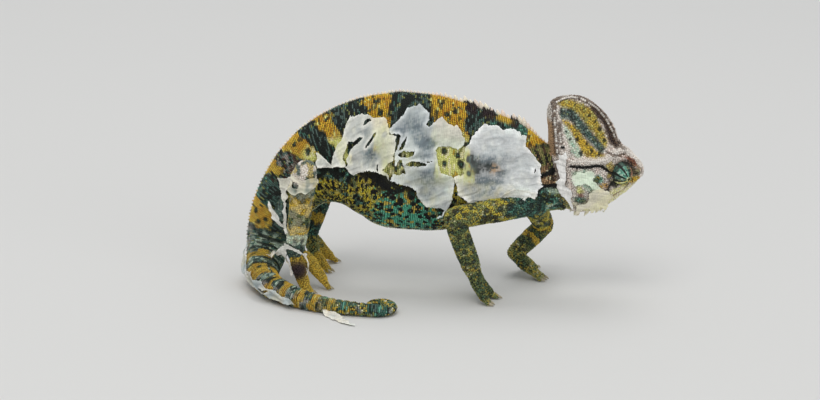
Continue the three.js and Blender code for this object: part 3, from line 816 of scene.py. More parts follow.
# where each yellow band starts and ends on the back line, the same at its low end, and how low it reaches
yellowBands = [
    (9.5, 17.8, 15.2, 17.4, 0.7), (43, 55, 37.5, 50.5, -0.12), (71, 81, 65.5, 70.5, -0.12),
    (94.5, 101, 86, 92, -0.02), (109.7, 117.8, 101.5, 108, 0.26), (122.5, 128, 121.5, 124.5, 0.62),
    (137.4, 147.5, 140.5, 147.5, 0.08), (161.5, 166.5, 163, 167, -0.35), (171, 180, 173, 181.5, -0.05),
    (187, 190, 186, 189.5, -1), (193.5, 197.5, 193, 196.5, -1), (201, 204, 200.5, 203.5, -1),
    (207.5, 210.5, 207, 210, -1), (214, 216.5, 214, 216.5, -1),
]
# the dark crease low on the flank: mm along the back, and its height there
flankCrease = ((30, 44, 60, 70, 82, 95, 108, 125), (-0.62, -0.56, -0.34, -0.22, -0.15, -0.06, 0.1, 0.3))
eyeSpots = [  # back, height, radius mm, dark spots with a teal heart
    (46.3, 0.86, 1.3), (49.2, 0.8, 1.1), (45, 0.93, 0.9), (51.5, 0.93, 0.9), (41.2, 0.45, 1.2),
    (43.4, 0.27, 1.1), (42, 0.14, 1.6), (48.8, 0.3, 1.4), (48.2, 0.12, 1.2), (38.8, 0.02, 1),
    (76, 0.93, 1.3), (73.6, 0.76, 1.3), (78, 0.82, 0.8), (71.2, 0.44, 1.2), (86.6, 0.28, 1), (96, 0.9, 1.2),
    (90.4, 0.66, 1.1), (88, 0.08, 0.9), (111.8, 0.86, 1.2), (107.6, 0.52, 1.5), (104, 0.36, 0.8),
    (142.6, 0.86, 1.4), (145.4, 0.62, 1.1), (143.4, 0.38, 1.1), (146, 0.12, 0.9), (175, 0.5, 0.9),
    (65.6, 0.3, 0.9), (66, -0.02, 0.8),
]


def paintBody(place):
    points, back, height, down = place["points"], place["back"], place["height"], place["down"]
    coat = bareCoat(len(back))
    side = np.sign(place["angle"]) * 5
    cells = np.stack([back / 0.7, down / 2.1 + 0.3 * back, side], -1)  # longer down the side than along
    flat = np.stack([back, down * 0.2, side], -1)
    lay, mosaic, blotch = brushes(coat, points, cells)
    streak = noise(flat, 0.8, 11)
    wobble = (streak - 0.5) * 2.2 + (noise(points, 2.6, 12) - 0.5) * 2.2
    sway = (noise(points, 3.0, 13) - 0.5) * 0.16
    everywhere = np.ones(len(back))

    mosaic("night", everywhere, 14)
    lay("slate", 0.7 * ramp(noise(flat, 0.75, 15), 0.6, 0.74) * blotch(2.8, 16, 0.4, 0.65))
    upper = within(back, 17, 32, 2) * ramp(height, 0.7, 0.84)
    lay("teal", 0.8 * upper * blotch(1.6, 17, 0.42, 0.55))
    lay("turquoise", 0.7 * upper * blotch(1.2, 18, 0.66, 0.76))
    lay("gold", 0.9 * within(back + wobble, 24.5, 31, 0.8) * ramp(height, 0.9, 0.96))
    for start, end in ridgeTufts:
        lay("plum", 0.8 * within(back, start, end, 0.8) * ramp(height, 0.88, 0.94))
    fleck = within(back, 116, 123, 1.5) * within(height, 0.45, 0.92, 0.1)
    lay("rust", 0.3 * within(back, 112, 128, 4) * blotch(1.1, 19, 0.56, 0.66))
    lay("ash", 0.5 * fleck * blotch(0.9, 20, 0.6, 0.7))
    mosaic("teal", 0.6 * within(back + wobble, 129, 139, 1) * blotch(1.8, 21, 0.5, 0.6), 22)

    flank = np.zeros(len(back))
    for start, end, lowStart, lowEnd, reach in yellowBands:
        share = np.clip((1 - height) / (1 - reach), 0, 1.15)
        left = start + (lowStart - start) * share
        right = end + (lowEnd - end) * share
        band = within(back + wobble, left, right, 0.45) * ramp(height + sway, reach - 0.06, reach + 0.04)
        flank = np.maximum(flank, band)
    paintTail(coat, place, flank, cells)
    mosaic("gold", flank, 23)
    lay("straw", 0.45 * flank * ramp(back, 100, 120))
    lay("orange", flank * 0.5 * blotch(1.5, 24, 0.56, 0.68))
    lay("night", flank * 0.8 * ramp(noise(flat, 0.8, 25), 0.7, 0.78) * ramp(height, 0.45, 0.7))
    mosaic("lemon", flank * ramp(height + sway, 0.62, 0.44) * ramp(back, 118, 108), 26)

    low = ramp(height + sway, -0.08, -0.2) * within(back, 14, 139, 5)
    patches = noise(points, 2.4, 27)
    net = noise(points, 1.0, 28)
    small = np.stack([back / 0.75, down / 0.9, side], -1)
    mosaic("olive", low, 29, 0.6, small)
    mosaic("yellow", low * blotch(2.0, 30, 0.32, 0.46), 31, 0.6, small)
    lay("straw", low * 0.5 * ramp(net, 0.56, 0.66))
    lay("night", low * 0.85 * ramp(net, 0.3, 0.22))
    mosaic("teal", low * ramp(patches, 0.62, 0.7) * ramp(height, -0.3, -0.55), 32, 0.6, small)
    patch = hump((back, 60, 12), (height, -0.7, 0.28))
    mosaic("teal", low * ramp(patch + (patches - 0.5) * 0.9, 0.35, 0.6), 33, own=small)
    mosaic("jade", low * ramp(patch + (net - 0.5) * 1.1, 0.36, 0.46), 34, 0.5, small)
    lay("gold", low * 0.8 * ramp(patch, 0.1, 0.4) * blotch(1.5, 35, 0.6, 0.7))
    lay("mint", low * 0.5 * ramp(height, -0.9, -0.98))

    crease = np.interp(back, *flankCrease)
    ragged = (noise(points, 1.7, 36) - 0.5) * 0.16
    shade = ramp(np.abs(height - crease + ragged), 0.1, 0.05) * within(back, 57, 124, 3)
    lay("black", shade * 0.95)
    lay("black", 1.5 * hump((back, 70.0, 4), (height + ragged, -0.24, 0.1)))
    # painted shade: a black spot low on each flank for the shade in the gap behind the right elbow
    lay("black", 1.2 * hump((back, 45, 3), (height, -0.5, 0.09)))
    rear = within(back, 86, 122, 4) * within(height - crease + ragged, -0.28, -0.04, 0.05)
    lay("night", rear)
    mosaic("teal", rear * blotch(1.7, 37, 0.5, 0.62), 38, own=small)

    dots = spotDistance(back, down, 3.2, 39)
    dotSize = 0.65 + 0.55 * noise(points, 4, 40)
    lay("black", low * ramp(dots, dotSize + 0.25, dotSize))
    lay("teal", low * 0.8 * ramp(dots, 0.4, 0.2) * (noise(points, 3, 41) > 0.5))
    window = (side < 0) * hump((back, 63.5, 4.2), (height, 0.08, 0.16))
    mosaic("olive", 1.6 * window, 43, 0.6)
    mosaic("lemon", 1.4 * window * blotch(1.5, 44, 0.4, 0.5), 45, 0.6)
    lay("black", 0.9 * (window > 0.3) * ramp(dots, 0.95, 0.65))
    smoke = hump((back, 31.5, 6.5), (height, 0.1, 0.17))
    lay("night", 1.6 * smoke)
    lay("tan", 1.2 * smoke * blotch(0.8, 42, 0.52, 0.6) * ramp(back, 34, 27))

    for at, high, radius in eyeSpots:
        half = axisAt(placeAtBack(at))["half"]
        away = np.hypot((back - at) * 1.15, down - half * math.acos(high)) + (net - 0.5) * 0.5
        lay("night", 0.95 * ramp(away, radius + 0.35, radius - 0.35))
        lay("teal", 0.7 * ramp(away, radius * 0.5, radius * 0.2))
    paintNeck(coat, place)
    return coat


def paintNeck(coat, place):  # dark folds behind the head with painted highlights and painted shade on their wrinkles, beaded tan skin below, and a wrinkled throat with painted light and shade on its wrinkles
    points, back, height = place["points"], place["back"], place["height"]
    lay, mosaic, blotch = brushes(coat, points, points / 0.8)
    upright = height * 16.0
    slanted = np.stack([(back - upright) * 0.9, (back + upright) * 0.22, np.sign(place["angle"]) * 5], -1)
    wrinkle = noise(slanted, 1, 70)
    nape = [(4.0, 15.6), (9.0, 15.2), (15.0, 11.6), (17.0, 10.6), (11.0, 8.0), (8.0, 4.6), (3.0, 9.0)]
    fold = ramp(signedDistance(back, upright, nape), 0.9, -0.9)
    mosaic("umber", fold, 71)
    # olive on the wrinkles' crests is painted highlight, black in their troughs painted shade
    lay("olive", fold * 0.7 * ramp(wrinkle, 0.52, 0.66))
    lay("black", fold * 0.8 * ramp(wrinkle, 0.36, 0.26))
    beads = ramp(back, 10, 8) * within(height, 0.08, 0.5, 0.05)
    mosaic("tan", beads, 72)
    throat = ramp(back, 20, 15) * ramp(height, -0.02, -0.1)
    mosaic("teal", throat, 73)
    lay("olive", throat * 0.7 * blotch(2.2, 74, 0.5, 0.6))
    # mint on the wrinkles' crests and night in their troughs: painted light and shade
    lay("mint", throat * 0.6 * ramp(wrinkle, 0.6, 0.72))
    lay("night", throat * 0.9 * ramp(wrinkle, 0.34, 0.24))
    lay("black", 1.2 * hump((back, 10, 2.4), (height, -0.32, 0.08)))
    for line in ([(2, 13.4), (4, 10), (5.6, 6.6), (8, 4.4), (11, 3.8)], [(2, 1.6), (5.5, 0.4), (8.5, -0.6)]):
        lay("black", ramp(lineDistance(back, upright, line), 1.3, 0.7))


def paintTail(coat, place, flank, cells):  # slate with ragged dark bars, going olive in the coil
    points, back, height = place["points"], place["back"], place["height"]
    lay, mosaic, blotch = brushes(coat, points, cells)
    tail = ramp(back, 147, 151)
    bars = noise(np.stack([back + 1.4 * height, height * 1.2, np.zeros(len(back))], -1), 1.5, 75)
    mosaic("slate", tail * 0.9, 76)
    lay("mint", tail * 0.55 * blotch(1.3, 77, 0.6, 0.7) * ramp(height, 0.95, 0.6))
    lay("night", tail * 0.9 * ramp(bars, 0.54, 0.62))
    mosaic("gold", 0.9 * within(back + bars * 2, 177, 186, 0.8) * ramp(height, -0.15, -0.35), 78)
    lay("ash", 0.5 * tail * ramp(height, 0.72, 0.95) * blotch(1.2, 79, 0.35, 0.55))
    flank *= 1 - 0.35 * tail * ramp(bars, 0.4, 0.6)  # the yellow bands, painted later, are weaker here
    coiled = ramp(back, 209, 216)
    flank *= 1 - 0.6 * coiled
    mosaic("olive", coiled * blotch(1.9, 80, 0.25, 0.35), 81, own=points / 0.8)
    lay("black", 0.9 * coiled * blotch(0.9, 82, 0.62, 0.7))
    mosaic("teal", coiled * blotch(3.4, 83, 0.58, 0.64), 84)


# tone, strength, soft edge mm, outline in the head's side view
headPatches = [
    ("straw", 1, 0.7, [(-13.6, 26.7), (-10.8, 27.2), (-7.4, 26.7), (-3.6, 25.3), (-0.8, 23.3), (1.2, 20.8),
        (2.6, 18.1), (3.9, 15.3), (5.1, 12.5), (5.6, 10.3), (4.5, 9.2), (2.4, 11.5), (0.1, 14.3), (-2, 17),
        (-4.2, 19.8), (-6, 22.1), (-8.2, 23.6), (-11.3, 24.6), (-12.7, 25.6)]),
    ("mint", 0.9, 0.6, [(-11.2, 19.6), (-9.1, 16.6), (-7.2, 13.6), (-5.6, 10.4), (-4.4, 7.6), (-5.2, 6.6),
        (-7.6, 7.2), (-9, 9.6), (-9.8, 12.4), (-11, 15.4)]),
    ("amber", 1, 0.7, [(-11.5, 20.4), (-7.7, 18.7), (-5.5, 16.2), (-3.6, 13.4), (-1.3, 10.9), (0.9, 8.7),
        (3.4, 7.3), (4.2, 6.4), (0.3, 5.8), (-2.4, 6.1), (-4.1, 7.5), (-5.2, 9.4), (-6.1, 11.7), (-7.2, 13.9),
        (-8.8, 16.4), (-11.1, 18.9)]),
    ("slate", 0.95, 0.7, [(-12, 24.4), (-8.6, 23.7), (-6.1, 22.2), (-4.1, 19.7), (-1.9, 16.9), (0.1, 14.2),
        (2.3, 11.4), (4.2, 8.8), (3.2, 7.6), (0.9, 9), (-1.3, 11.2), (-3.6, 13.7), (-5.5, 16.3), (-7.4, 18.5),
        (-9.7, 20.3), (-12.2, 21.1), (-12.6, 22.8)]),
    ("mint", 0.95, 0.8, [(-8.4, 1.6), (-4, 2.2), (-0.6, 1.2), (0.4, -2.6), (2.4, -5), (0.6, -7.2),
        (-2.4, -6.4), (-4.6, -3.6), (-7, -3.8), (-8.4, -2)]),
    ("bone", 0.9, 0.8, [(0.4, -3.4), (3.2, -5.2), (5.6, -6.8), (4.6, -9.6), (-1, -10.8), (-6.6, -13.4),
        (-8.6, -10.6), (-8.8, -6.8), (-7, -8.4), (-3, -8.6), (-1.6, -6.4)]),
    ("turquoise", 0.9, 0.5, [(-0.2, -0.3), (1.6, -0.1), (3.2, -1.2), (3.5, -3), (1.6, -3.4), (0.2, -2.2)]),
    ("orange", 0.8, 0.5, [(2.6, -3.2), (4.6, -3.4), (5.4, -5.2), (3.6, -5.6)]),
    ("lemon", 0.9, 0.5, [(-7, -4.2), (-5, -4), (-4.4, -6.2), (-6.2, -7)]),
    ("rust", 0.8, 0.5, [(-6.6, -6.8), (-4.6, -6.6), (-3.4, -8), (-5.6, -8.4)]),
    ("teal", 0.9, 0.6, [(-7.6, -8.2), (-3.4, -8.4), (-2.6, -10), (-4.4, -11.2), (-7, -10.8)]),
    ("cream", 0.95, 0.7, [(3, -9), (5.6, -7.4), (8.4, -5.8), (12, -4.6), (14, -5.2), (17, -3.6), (20.5, -2.6),
        (20, -8), (2, -18), (-4, -14)]),
    ("moss", 0.85, 0.5, [(-0.6, -0.9), (1.6, -0.6), (2.6, -1.8), (1.2, -3), (-0.4, -2.4)]),
    ("gold", 0.9, 0.4, [(1.6, -4), (3.4, -4.2), (3.8, -5.4), (2, -5.6)]),
    ("straw", 0.8, 0.5, [(9, -4), (12.4, -3.6), (14, -4.8), (11, -5.6)]),
    ("gold", 1, 0.5, [(13.4, -2.4), (15.4, -2), (17.8, -2.4), (18.6, -3.6), (16.4, -4.6), (14, -5)]),
    ("umber", 0.7, 0.6, [(5, -0.6), (8, -2.2), (9.4, -4.4), (6, -5.6), (4.8, -8.2), (4.2, -6), (5.4, -3.4)]),
    ("straw", 0.8, 0.6, [(4.4, 3.6), (6.4, 4.4), (7.6, 2.4), (6.8, -0.6), (5.2, -0.8), (4.8, 1.4)]),
    ("tan", 0.8, 0.6, [(14.6, 4.6), (16.8, 4), (19, 1.6), (18.8, -0.6), (16.6, 0.2), (15.4, 2)]),
    ("rust", 1, 0.5, [(11.4, 5.6), (14, 5.6), (16.6, 4.2), (17.6, 2.2), (16, 0.8), (14.6, 1.4), (13.2, 3)]),
    ("night", 0.85, 0.5, [(6.2, -3), (9, -3.8), (9.8, -4.8), (8.2, -5.8), (6.2, -5)]),
    ("lemon", 0.8, 0.4, [(9.4, -5.4), (12.6, -3.6), (13.2, -4.2), (10.2, -6)]),
    ("moss", 0.9, 0.4, [(11, -6), (13.4, -4.4), (13.9, -5), (11.8, -6.6)]),
    ("olive", 0.8, 0.5, [(14.6, 1.6), (16.8, 0.2), (18.6, -1.2), (17.6, -2.4), (14.6, -1.8)]),
    ("olive", 0.9, 0.8, [(-12.4, -7), (-9, -10), (-7, -13), (-9, -15), (-14, -9)]),
]
darkSpots = [(-10.5, 16.1, 0.5), (-6.1, 12.8, 0.75), (-5.2, 8.3, 0.9), (-8.8, 13.1, 0.45), (-1.1, 20.8, 0.6),
             (2.8, 15.6, 0.7), (4.5, 11.4, 0.7), (-1.1, 8.6, 0.7), (-3.4, 23.4, 0.45), (1, 18.4, 0.5),
             (-6.6, 25, 0.45), (-2.6, 11.2, 0.5), (1.6, 7.4, 0.5)]


def signedDistance(across, up, outline):  # negative inside
    away = lineDistance(across, up, outline + outline[:1])
    return np.where(insideOutline(across, up, outline), -away, away)


def headEdges(z):  # where the head starts and ends at a height of its side view
    heights, rears, fronts = np.array(headSlices).T[:3]
    return np.interp(z, heights, rears), np.interp(z, heights, fronts)


def paintHead(place):
    points = place["points"]
    x, _, z = place["head"].T
    coat = bareCoat(len(x))
    lay, mosaic, blotch = brushes(coat, points, points / 0.66)
    fleck = noise(points, 1.1, 90)
    shift = (noise(points, 1.2, 91) - 0.5) * 0.9
    mosaic("rose", np.ones(len(x)), 92)
    lay("umber", 0.4 * ramp(fleck, 0.68, 0.78))
    lay("ash", 0.5 * blotch(2.0, 93, 0.5, 0.62))

    rear, front = headEdges(z)
    toFront, toRear = front - x, x - rear
    onCasque = ramp(z, 5.6, 7.4)
    lay("bone", 0.8 * onCasque * ramp(x, -9.0, -10.5))
    for index, (tone, strength, soft, outline) in enumerate(headPatches):
        mosaic(tone, strength * ramp(signedDistance(x, z, outline) + shift, soft, -soft), 94 + index, 0.5)
    band = ramp(signedDistance(x, z, headPatches[3][3]) + shift, 0.4, -0.4)
    lay("night", band * 0.6 * blotch(1.3, 120, 0.56, 0.68))
    for across, up, radius in darkSpots:
        lay("night", 0.9 * ramp(np.hypot(x - across, z - up) + shift * 0.5, radius + 0.2, radius - 0.2))
    lay("black", ramp(np.hypot(x + 11.9, z - 10.6), 0.9, 0.6))

    def along(name, shake=0):
        return lineDistance(x, z, headLines[name]) + shift * shake

    temple = np.minimum(lineDistance(x, z, headLines["temple"][2:]), along("brow"))
    lay("bone", 0.9 * ramp(temple + shift, 1.6, 0.8))
    lay("umber", 0.8 * ramp(along("browFold"), 0.5, 0.25))
    crest = onCasque * ramp(toFront, 2.5, 1.9)
    mosaic("ash", crest * 0.95, 121)
    lay("umber", 0.75 * crest * ramp(fleck, 0.42, 0.6) * ramp(z, 27, 16))
    # a dark band in the groove beside the casque's keel: dark brown of its own, deepened by painted shade in
    # the groove
    furrow = along("groove")
    lay("umber", 0.85 * ramp(furrow + shift * 0.5, 1.7, 0.9))
    lay("plum", 0.8 * ramp(furrow + shift * 0.4, 0.9, 0.4))
    low = ramp(z, 21.0, 18.5)
    lay("ash", 0.9 * onCasque * ramp(toRear, 1.6, 1.0))
    lay("tan", 0.95 * onCasque * ramp(toRear, 1.5, 0.9) * low)
    lay("umber", 0.7 * onCasque * ramp(toRear, 1.9, 1.5) * ramp(toRear, 1.1, 1.5) * low)
    rim = np.minimum.reduce([along(name) for name in ("rearRim", "innerRim", "topRim")])
    lay("umber", 0.75 * onCasque * ramp(rim, 1.1, 0.6))
    lay("ash", 0.9 * onCasque * ramp(rim, 0.4, 0.2))
    pick = lattice(np.floor(points / 0.9), 125)
    lay("bone", 0.8 * onCasque * ramp(rim, 0.4, 0.2) * (pick < 0.35))
    lay("umber", 0.8 * onCasque * ramp(rim, 0.9, 0.5) * (pick > 0.68))

    lay("bone", 0.8 * ramp(toFront, 2.0, 1.2) * within(z, 0.5, 8.0, 1.0))
    lay("black", ramp(along("cheek", 0.3), 0.85, 0.4))
    lay("night", 0.8 * ramp(along("underEye", 0.5), 0.8, 0.3))
    toEye = np.hypot(x - eye["x"] - 0.6, z - eye["z"])
    lay("umber", 0.8 * hump((toEye, 4.7, 0.5)) * ramp(z, -3, 1))
    # painted shade in the hollow round the foot of the eye turret
    lay("night", 0.9 * ramp(toEye, 4.6, 4.1))
    # the nostril: umber round it and black in its hollow, painted shade
    hole = (x - nostril["x"]) ** 2 + (z - nostril["z"]) ** 2
    lay("umber", 0.8 * np.exp(-hole / 1.2))
    lay("black", np.exp(-hole / 0.3))
    lay("tan", 0.8 * ramp(along("mouth"), 0.5, 0.25))
    neckward = ramp(x, -10.5, -12.5) * ramp(z, 6, 3)
    lay("umber", 0.7 * neckward)
    return coat


# cross bars of each limb: where each ends, counted as the limb's stages are, and its tone
limbMarks = {
    "forelegRight": [
        (0.4, "teal"), (1.11, "olive"), (1.26, "moss"), (1.38, "olive"), (1.52, "moss"), (1.68, "olive"),
        (1.86, "moss"), (2.1, "olive"), (4.3, "moss"), (5.1, "olive")],
    "forelegLeft": [
        (0.4, "teal"), (0.7, "olive"), (0.8, "moss"), (0.92, "amber"), (1.06, "moss"), (1.2, "olive"),
        (1.4, "moss"), (1.55, "amber"), (1.75, "moss"), (2.1, "olive"), (3.3, "moss"), (5.1, "olive")],
    "hindlegRight": [
        (0.5, "slate"), (0.8, "olive"), (1.14, "cream"), (1.3, "slate"), (1.5, "amber"), (1.64, "moss"),
        (1.76, "amber"), (1.88, "mint"), (2.05, "slate"), (5.1, "amber")],
    "hindlegLeft": [
        (0.45, "slate"), (0.62, "amber"), (0.8, "moss"), (1.14, "olive"), (1.32, "slate"), (1.5, "amber"),
        (1.64, "teal"), (1.8, "amber"), (2.0, "teal"), (3.1, "olive"), (5.1, "amber")],
}


def paintLeg(place, name):
    points, stage = place["points"], place["stage"]
    coat = bareCoat(len(stage))
    lay, mosaic, blotch = brushes(coat, points, points / 0.72)
    shift = (noise(points, 1.8, 50) - 0.5) * 0.09 * (1 + (stage > 2) * 3)
    start = 0
    for index, (end, tone) in enumerate(limbMarks[name]):
        mosaic(tone, within(stage + shift, start, end, 0.02), 130 + index, 0.4)
        start = end
    dots = spotDistance(stage * 24, place["barAngle"] * 3.4, 3.4, 60)
    lay("night", 0.8 * ramp(dots, 1.2, 0.75) * (stage < 2.6))
    lay("slate", 0.6 * ramp(dots, 0.45, 0.25) * (stage < 2.6))
    if name == "hindlegRight":
        lay("cream", 0.3 * within(stage, 1.1, 1.9, 0.1) * blotch(1.4, 57, 0.35, 0.6))
        knee = within(stage, 0.74, 1.16, 0.03)
        lay("bone", 0.95 * knee)
        lay("straw", 0.8 * knee * blotch(2.4, 63, 0.54, 0.66))
        lay("slate", 0.9 * knee * blotch(1.7, 64, 0.58, 0.68))
    if name.startswith("foreleg"):
        upper = within(stage, 0.3, 1.12, 0.08)
        mosaic("yellow", 0.7 * upper * blotch(2.0, 59, 0.54, 0.62), 61, 0.6)
        mosaic("night", 0.9 * upper * blotch(2.2, 58, 0.64, 0.72), 62)
    return coat


bareSole = {"at": (-51.5, -18.6, 9.4), "radius": 3.9}


def paintSole(coat, place):  # the dark sole of the right hind foot, bare under peeling skin
    away = np.linalg.norm(place["points"] - np.array(bareSole["at"]), axis=1)
    sole = np.exp(-((away / bareSole["radius"]) ** 6))
    lay, _, _ = brushes(coat, place["points"], None)
    lay("plum", sole * (place["region"] == mapNames.index("hindlegRight")))


def paint(place):
    count = len(place["points"])
    coat = bareCoat(count)
    for index, name in enumerate(mapNames):
        mine = place["region"] == index
        if not mine.any():
            continue
        part = {key: values[mine] for key, values in place.items()}
        painted = paintBody(part) if index == 0 else paintHead(part) if index == 1 else paintLeg(part, name)
        for key in coat:
            coat[key][mine] = painted[key]
    paintSole(coat, place)
    return coat


setColour(skinMesh, "tone", paint(skinPlace)["skin"])
report("skin painted")


# materials

def feed(tree, node, inputs):  # an input takes a value, another node's output, or a node for its first output
    for key, value in inputs.items():
        if isinstance(value, bpy.types.Node):
            value = value.outputs[0]
        if isinstance(value, bpy.types.NodeSocket):
            tree.links.new(value, node.inputs[key])
        else:
            node.inputs[key].default_value = value


def addNode(tree, kind, inputs=(), **settings):
    node = tree.nodes.new(kind)
    for key, value in settings.items():
        setattr(node, key, value)
    feed(tree, node, dict(inputs))
    return node


def addSockets(tree, way, sockets):  # each is its name, kind and, where it has one, the value it starts with
    for name, kind, *start in sockets:
        socket = tree.interface.new_socket(name, in_out=way, socket_type="NodeSocket" + kind)
        if start:
            socket.default_value = start[0]


def grainGroup():  # speckle, roughness and relief shared by hide, scales, crest and claws
    tree = bpy.data.node_groups.new("hideGrain", "ShaderNodeTree")
    add = partial(addNode, tree)
    addSockets(tree, "INPUT", [
        ("Colour", "Color", (0.5, 0.5, 0.5, 1)), ("Grain Scale", "Float", 1800), ("Speckle", "Float", 0.25),
        ("Rough Low", "Float", 0.45), ("Rough High", "Float", 0.7)])
    addSockets(tree, "OUTPUT", [("Colour", "Color"), ("Roughness", "Float"), ("Height", "Float")])
    given = add("NodeGroupInput").outputs
    place = add("ShaderNodeTexCoord").outputs["Object"]
    grain = add("ShaderNodeTexNoise", {"Vector": place, "Scale": given["Grain Scale"], "Detail": 4})
    swing = add("ShaderNodeMapRange", {"Value": grain, "From Min": 0.3, "From Max": 0.7, "To Min": -1})
    gain = add("ShaderNodeMath", {0: swing, 1: given["Speckle"], 2: 1}, operation="MULTIPLY_ADD")
    tinted = add("ShaderNodeVectorMath", {0: given["Colour"], "Scale": gain}, operation="SCALE")
    rough = add("ShaderNodeMapRange", {
        "Value": grain, "To Min": given["Rough Low"], "To Max": given["Rough High"]})
    add("NodeGroupOutput", {"Colour": tinted, "Roughness": rough, "Height": grain})
    return tree


hideGrain = grainGroup()


def hideMaterial(name, values):  # a finish that reads the painted tone of its piece
    scale, speckle, roughLow, roughHigh, bump, bumpDepth, specular = values
    material = bpy.data.materials.new(name)
    material.use_nodes = True
    tree = material.node_tree
    add = partial(addNode, tree)
    grain = add("ShaderNodeGroup", {
        "Colour": add("ShaderNodeAttribute", attribute_name="tone"), "Grain Scale": scale, "Speckle": speckle,
        "Rough Low": roughLow, "Rough High": roughHigh}, node_tree=hideGrain).outputs
    relief = add("ShaderNodeBump", {"Strength": bump, "Distance": bumpDepth, "Height": grain["Height"]})
    feed(tree, tree.nodes["Principled BSDF"], {
        "Base Color": grain["Colour"], "Roughness": grain["Roughness"], "Normal": relief,
        "Specular IOR Level": specular})
    return material


# each finish: fineness of its grain, how far the grain changes its colour, its roughness from and to, the
# strength and depth in metres of its relief, and its specular level
finishes = {
    "hide": (2600, 0.3, 0.5, 0.8, 0.5, 0.0001, 0.35),
    "scales": (3200, 0.22, 0.45, 0.7, 0.4, 0.00006, 0.28),
    "crest": (2400, 0.18, 0.45, 0.6, 0.4, 0.00008, 0.4),
    "wet": (900, 0.1, 0.04, 0.1, 0.02, 0.00001, 0.6),
    "film": (1400, 0.07, 0.62, 0.8, 0.5, 0.00012, 0.3),
}
materials = {name: hideMaterial(name, values) for name, values in finishes.items()}

skin = addObject("skin", skinMesh)
skinMesh.polygons.foreach_set("use_smooth", [True] * len(skinMesh.polygons))
skinMesh.materials.clear()
skinMesh.materials.append(materials["hide"])
fleshNodes = [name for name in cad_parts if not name.startswith("eye")]
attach(skin, "root")
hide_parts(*fleshNodes)

# scales

scaleShape = {
    "columnPitch": 0.7,  # mm along the back
    "rowPitch": 0.68,  # mm down the side
    "columnShare": 0.8,  # how much of its column a scale fills, which leaves a groove between columns
    "ridgeStretch": 1.35,  # how much longer the scales are beside the crest
    "height": 0.26,
    "legPitch": 0.66,
    "footPitch": 0.62,
    "headPitch": 0.62,
    "casquePitch": 0.74,
    "foldPitch": 0.70,  # where the rows give way to loose granules
    "cover": 0.58,  # half width of a scale as a share of the pitch
    "ringSteps": 241,  # how finely the way round the body is measured
    "gap": 0.43,  # how near two scattered scales may be, as a share of both their pitches
    "cell": 1.1,  # mm, of the boxes that the scattering looks in
    "reach": 1.1,  # mm from a root's first place to the skin at most
    "floorGap": 0.35,  # no scales lower than this
    "patch": 0.003,  # of each scale on the map for baking
}
random = np.random.default_rng(11)


def skinTree():
    corners = [tuple(face.vertices) for face in skinMesh.polygons]
    return BVHTree.FromPolygons(skinPoints.tolist(), corners), corners


skinBvh, skinCorners = skinTree()


def onSkin(points):  # nearest places on the skin, their normals and the distances
    places, normals, far = np.zeros_like(points), np.zeros_like(points), np.full(len(points), 9.0)
    for i, p in enumerate(points):
        near = skinBvh.find_nearest(Vector(p), 3.0)
        if near[0] is None:
            continue
        places[i] = near[0]
        far[i] = near[3]
        normals[i] = skinNormals[list(skinCorners[near[2]])].mean(0)
    return places, unit(normals), far


def bodyRoots():  # columns of scales from the ridge down both sides
    points, lies, sizes = [], [], []
    step = 0.03  # of a place, to measure how the columns spread
    pitch = scaleShape["rowPitch"]
    arcs = np.arange(1.0, axisTable["back"][-1] - 0.3, scaleShape["columnPitch"])
    for column, arc in enumerate(arcs):
        place = placeAtBack(arc)
        angles = np.linspace(0, 2 * math.pi, scaleShape["ringSteps"])
        girth = runLength(bodyPoint(np.full(len(angles), place), angles, 0))
        count = max(6, round(girth[-1] / pitch))
        at = (np.arange(count) + 0.5 * (column % 2) + random.uniform(-0.14, 0.14, count)) / count * girth[-1]
        angle = np.interp(at % girth[-1], girth, angles)
        jitter = random.uniform(-0.05, 0.05, count)
        mine = np.full(count, place)
        here, after = bodyPoint(mine, angle, 0), bodyPoint(mine, angle + 0.02, 0)
        across = np.linalg.norm(bodyPoint(mine + step, angle, 0) - here, axis=1) / step
        backRate = (backAt(place + step) - backAt(place)) / step
        width = scaleShape["columnPitch"] * across / max(backRate, 0.1)
        keep = (width > 0.36) | (np.arange(count) % 2 == column % 2)
        points.append((here + jitter[:, None])[keep])
        lies.append((after - here)[keep])
        stretch = 1 + (scaleShape["ridgeStretch"] - 1) * ramp(np.cos(angle), 0.55, 0.95) * ramp(arc, 175, 150)
        wide = np.clip(width, 0.42, 1.0) * scaleShape["columnShare"]
        tall = 1 + 0.5 * ramp(np.cos(angle), 0.9, 0.97)
        for start, end in ridgeTufts:
            tall = tall + 2.4 * within(arc, start, end, 0.6) * ramp(np.cos(angle), 0.92, 0.965)
        sizes.append(np.stack([pitch * stretch, wide, tall], -1)[keep])
    return np.vstack(points), unit(np.vstack(lies)), np.vstack(sizes)


def scatterRoots():  # granular scales over legs, feet, head and folds, kept apart by their own size
    pitch = np.full(len(skinPoints), scaleShape["legPitch"])
    pitch[skinPlace["stage"] > 2.2] = scaleShape["footPitch"]
    onHead = skinPlace["region"] == 1
    pitch[onHead] = scaleShape["headPitch"]
    pitch[onHead & (skinPlace["head"][:, 2] > 7)] = scaleShape["casquePitch"]
    pitch[skinPlace["region"] == 0] = scaleShape["foldPitch"]
    faces = np.array([corner[:3] for corner in skinCorners])
    picked = np.tile(np.arange(len(faces)), 3)
    random.shuffle(picked)
    weights = random.dirichlet((1, 1, 1), len(picked))
    candidates = (skinPoints[faces[picked]] * weights[..., None]).sum(1)
    apart = pitch[faces[picked, 0]]
    return candidates, apart


headRay = {"start": 25.0, "length": 26.0}  # mm out from the middle of the head, and mm that a ray goes in
# rows of bigger beads along the head's lines: mm between them, how tall
headRows = {"rearRim": (0.82, 1.5), "topRim": (0.8, 1.5), "innerRim": (0.76, 1.2), "temple": (0.86, 1.2),
            "brow": (0.86, 1.3), "lip": (0.7, 1.2)}


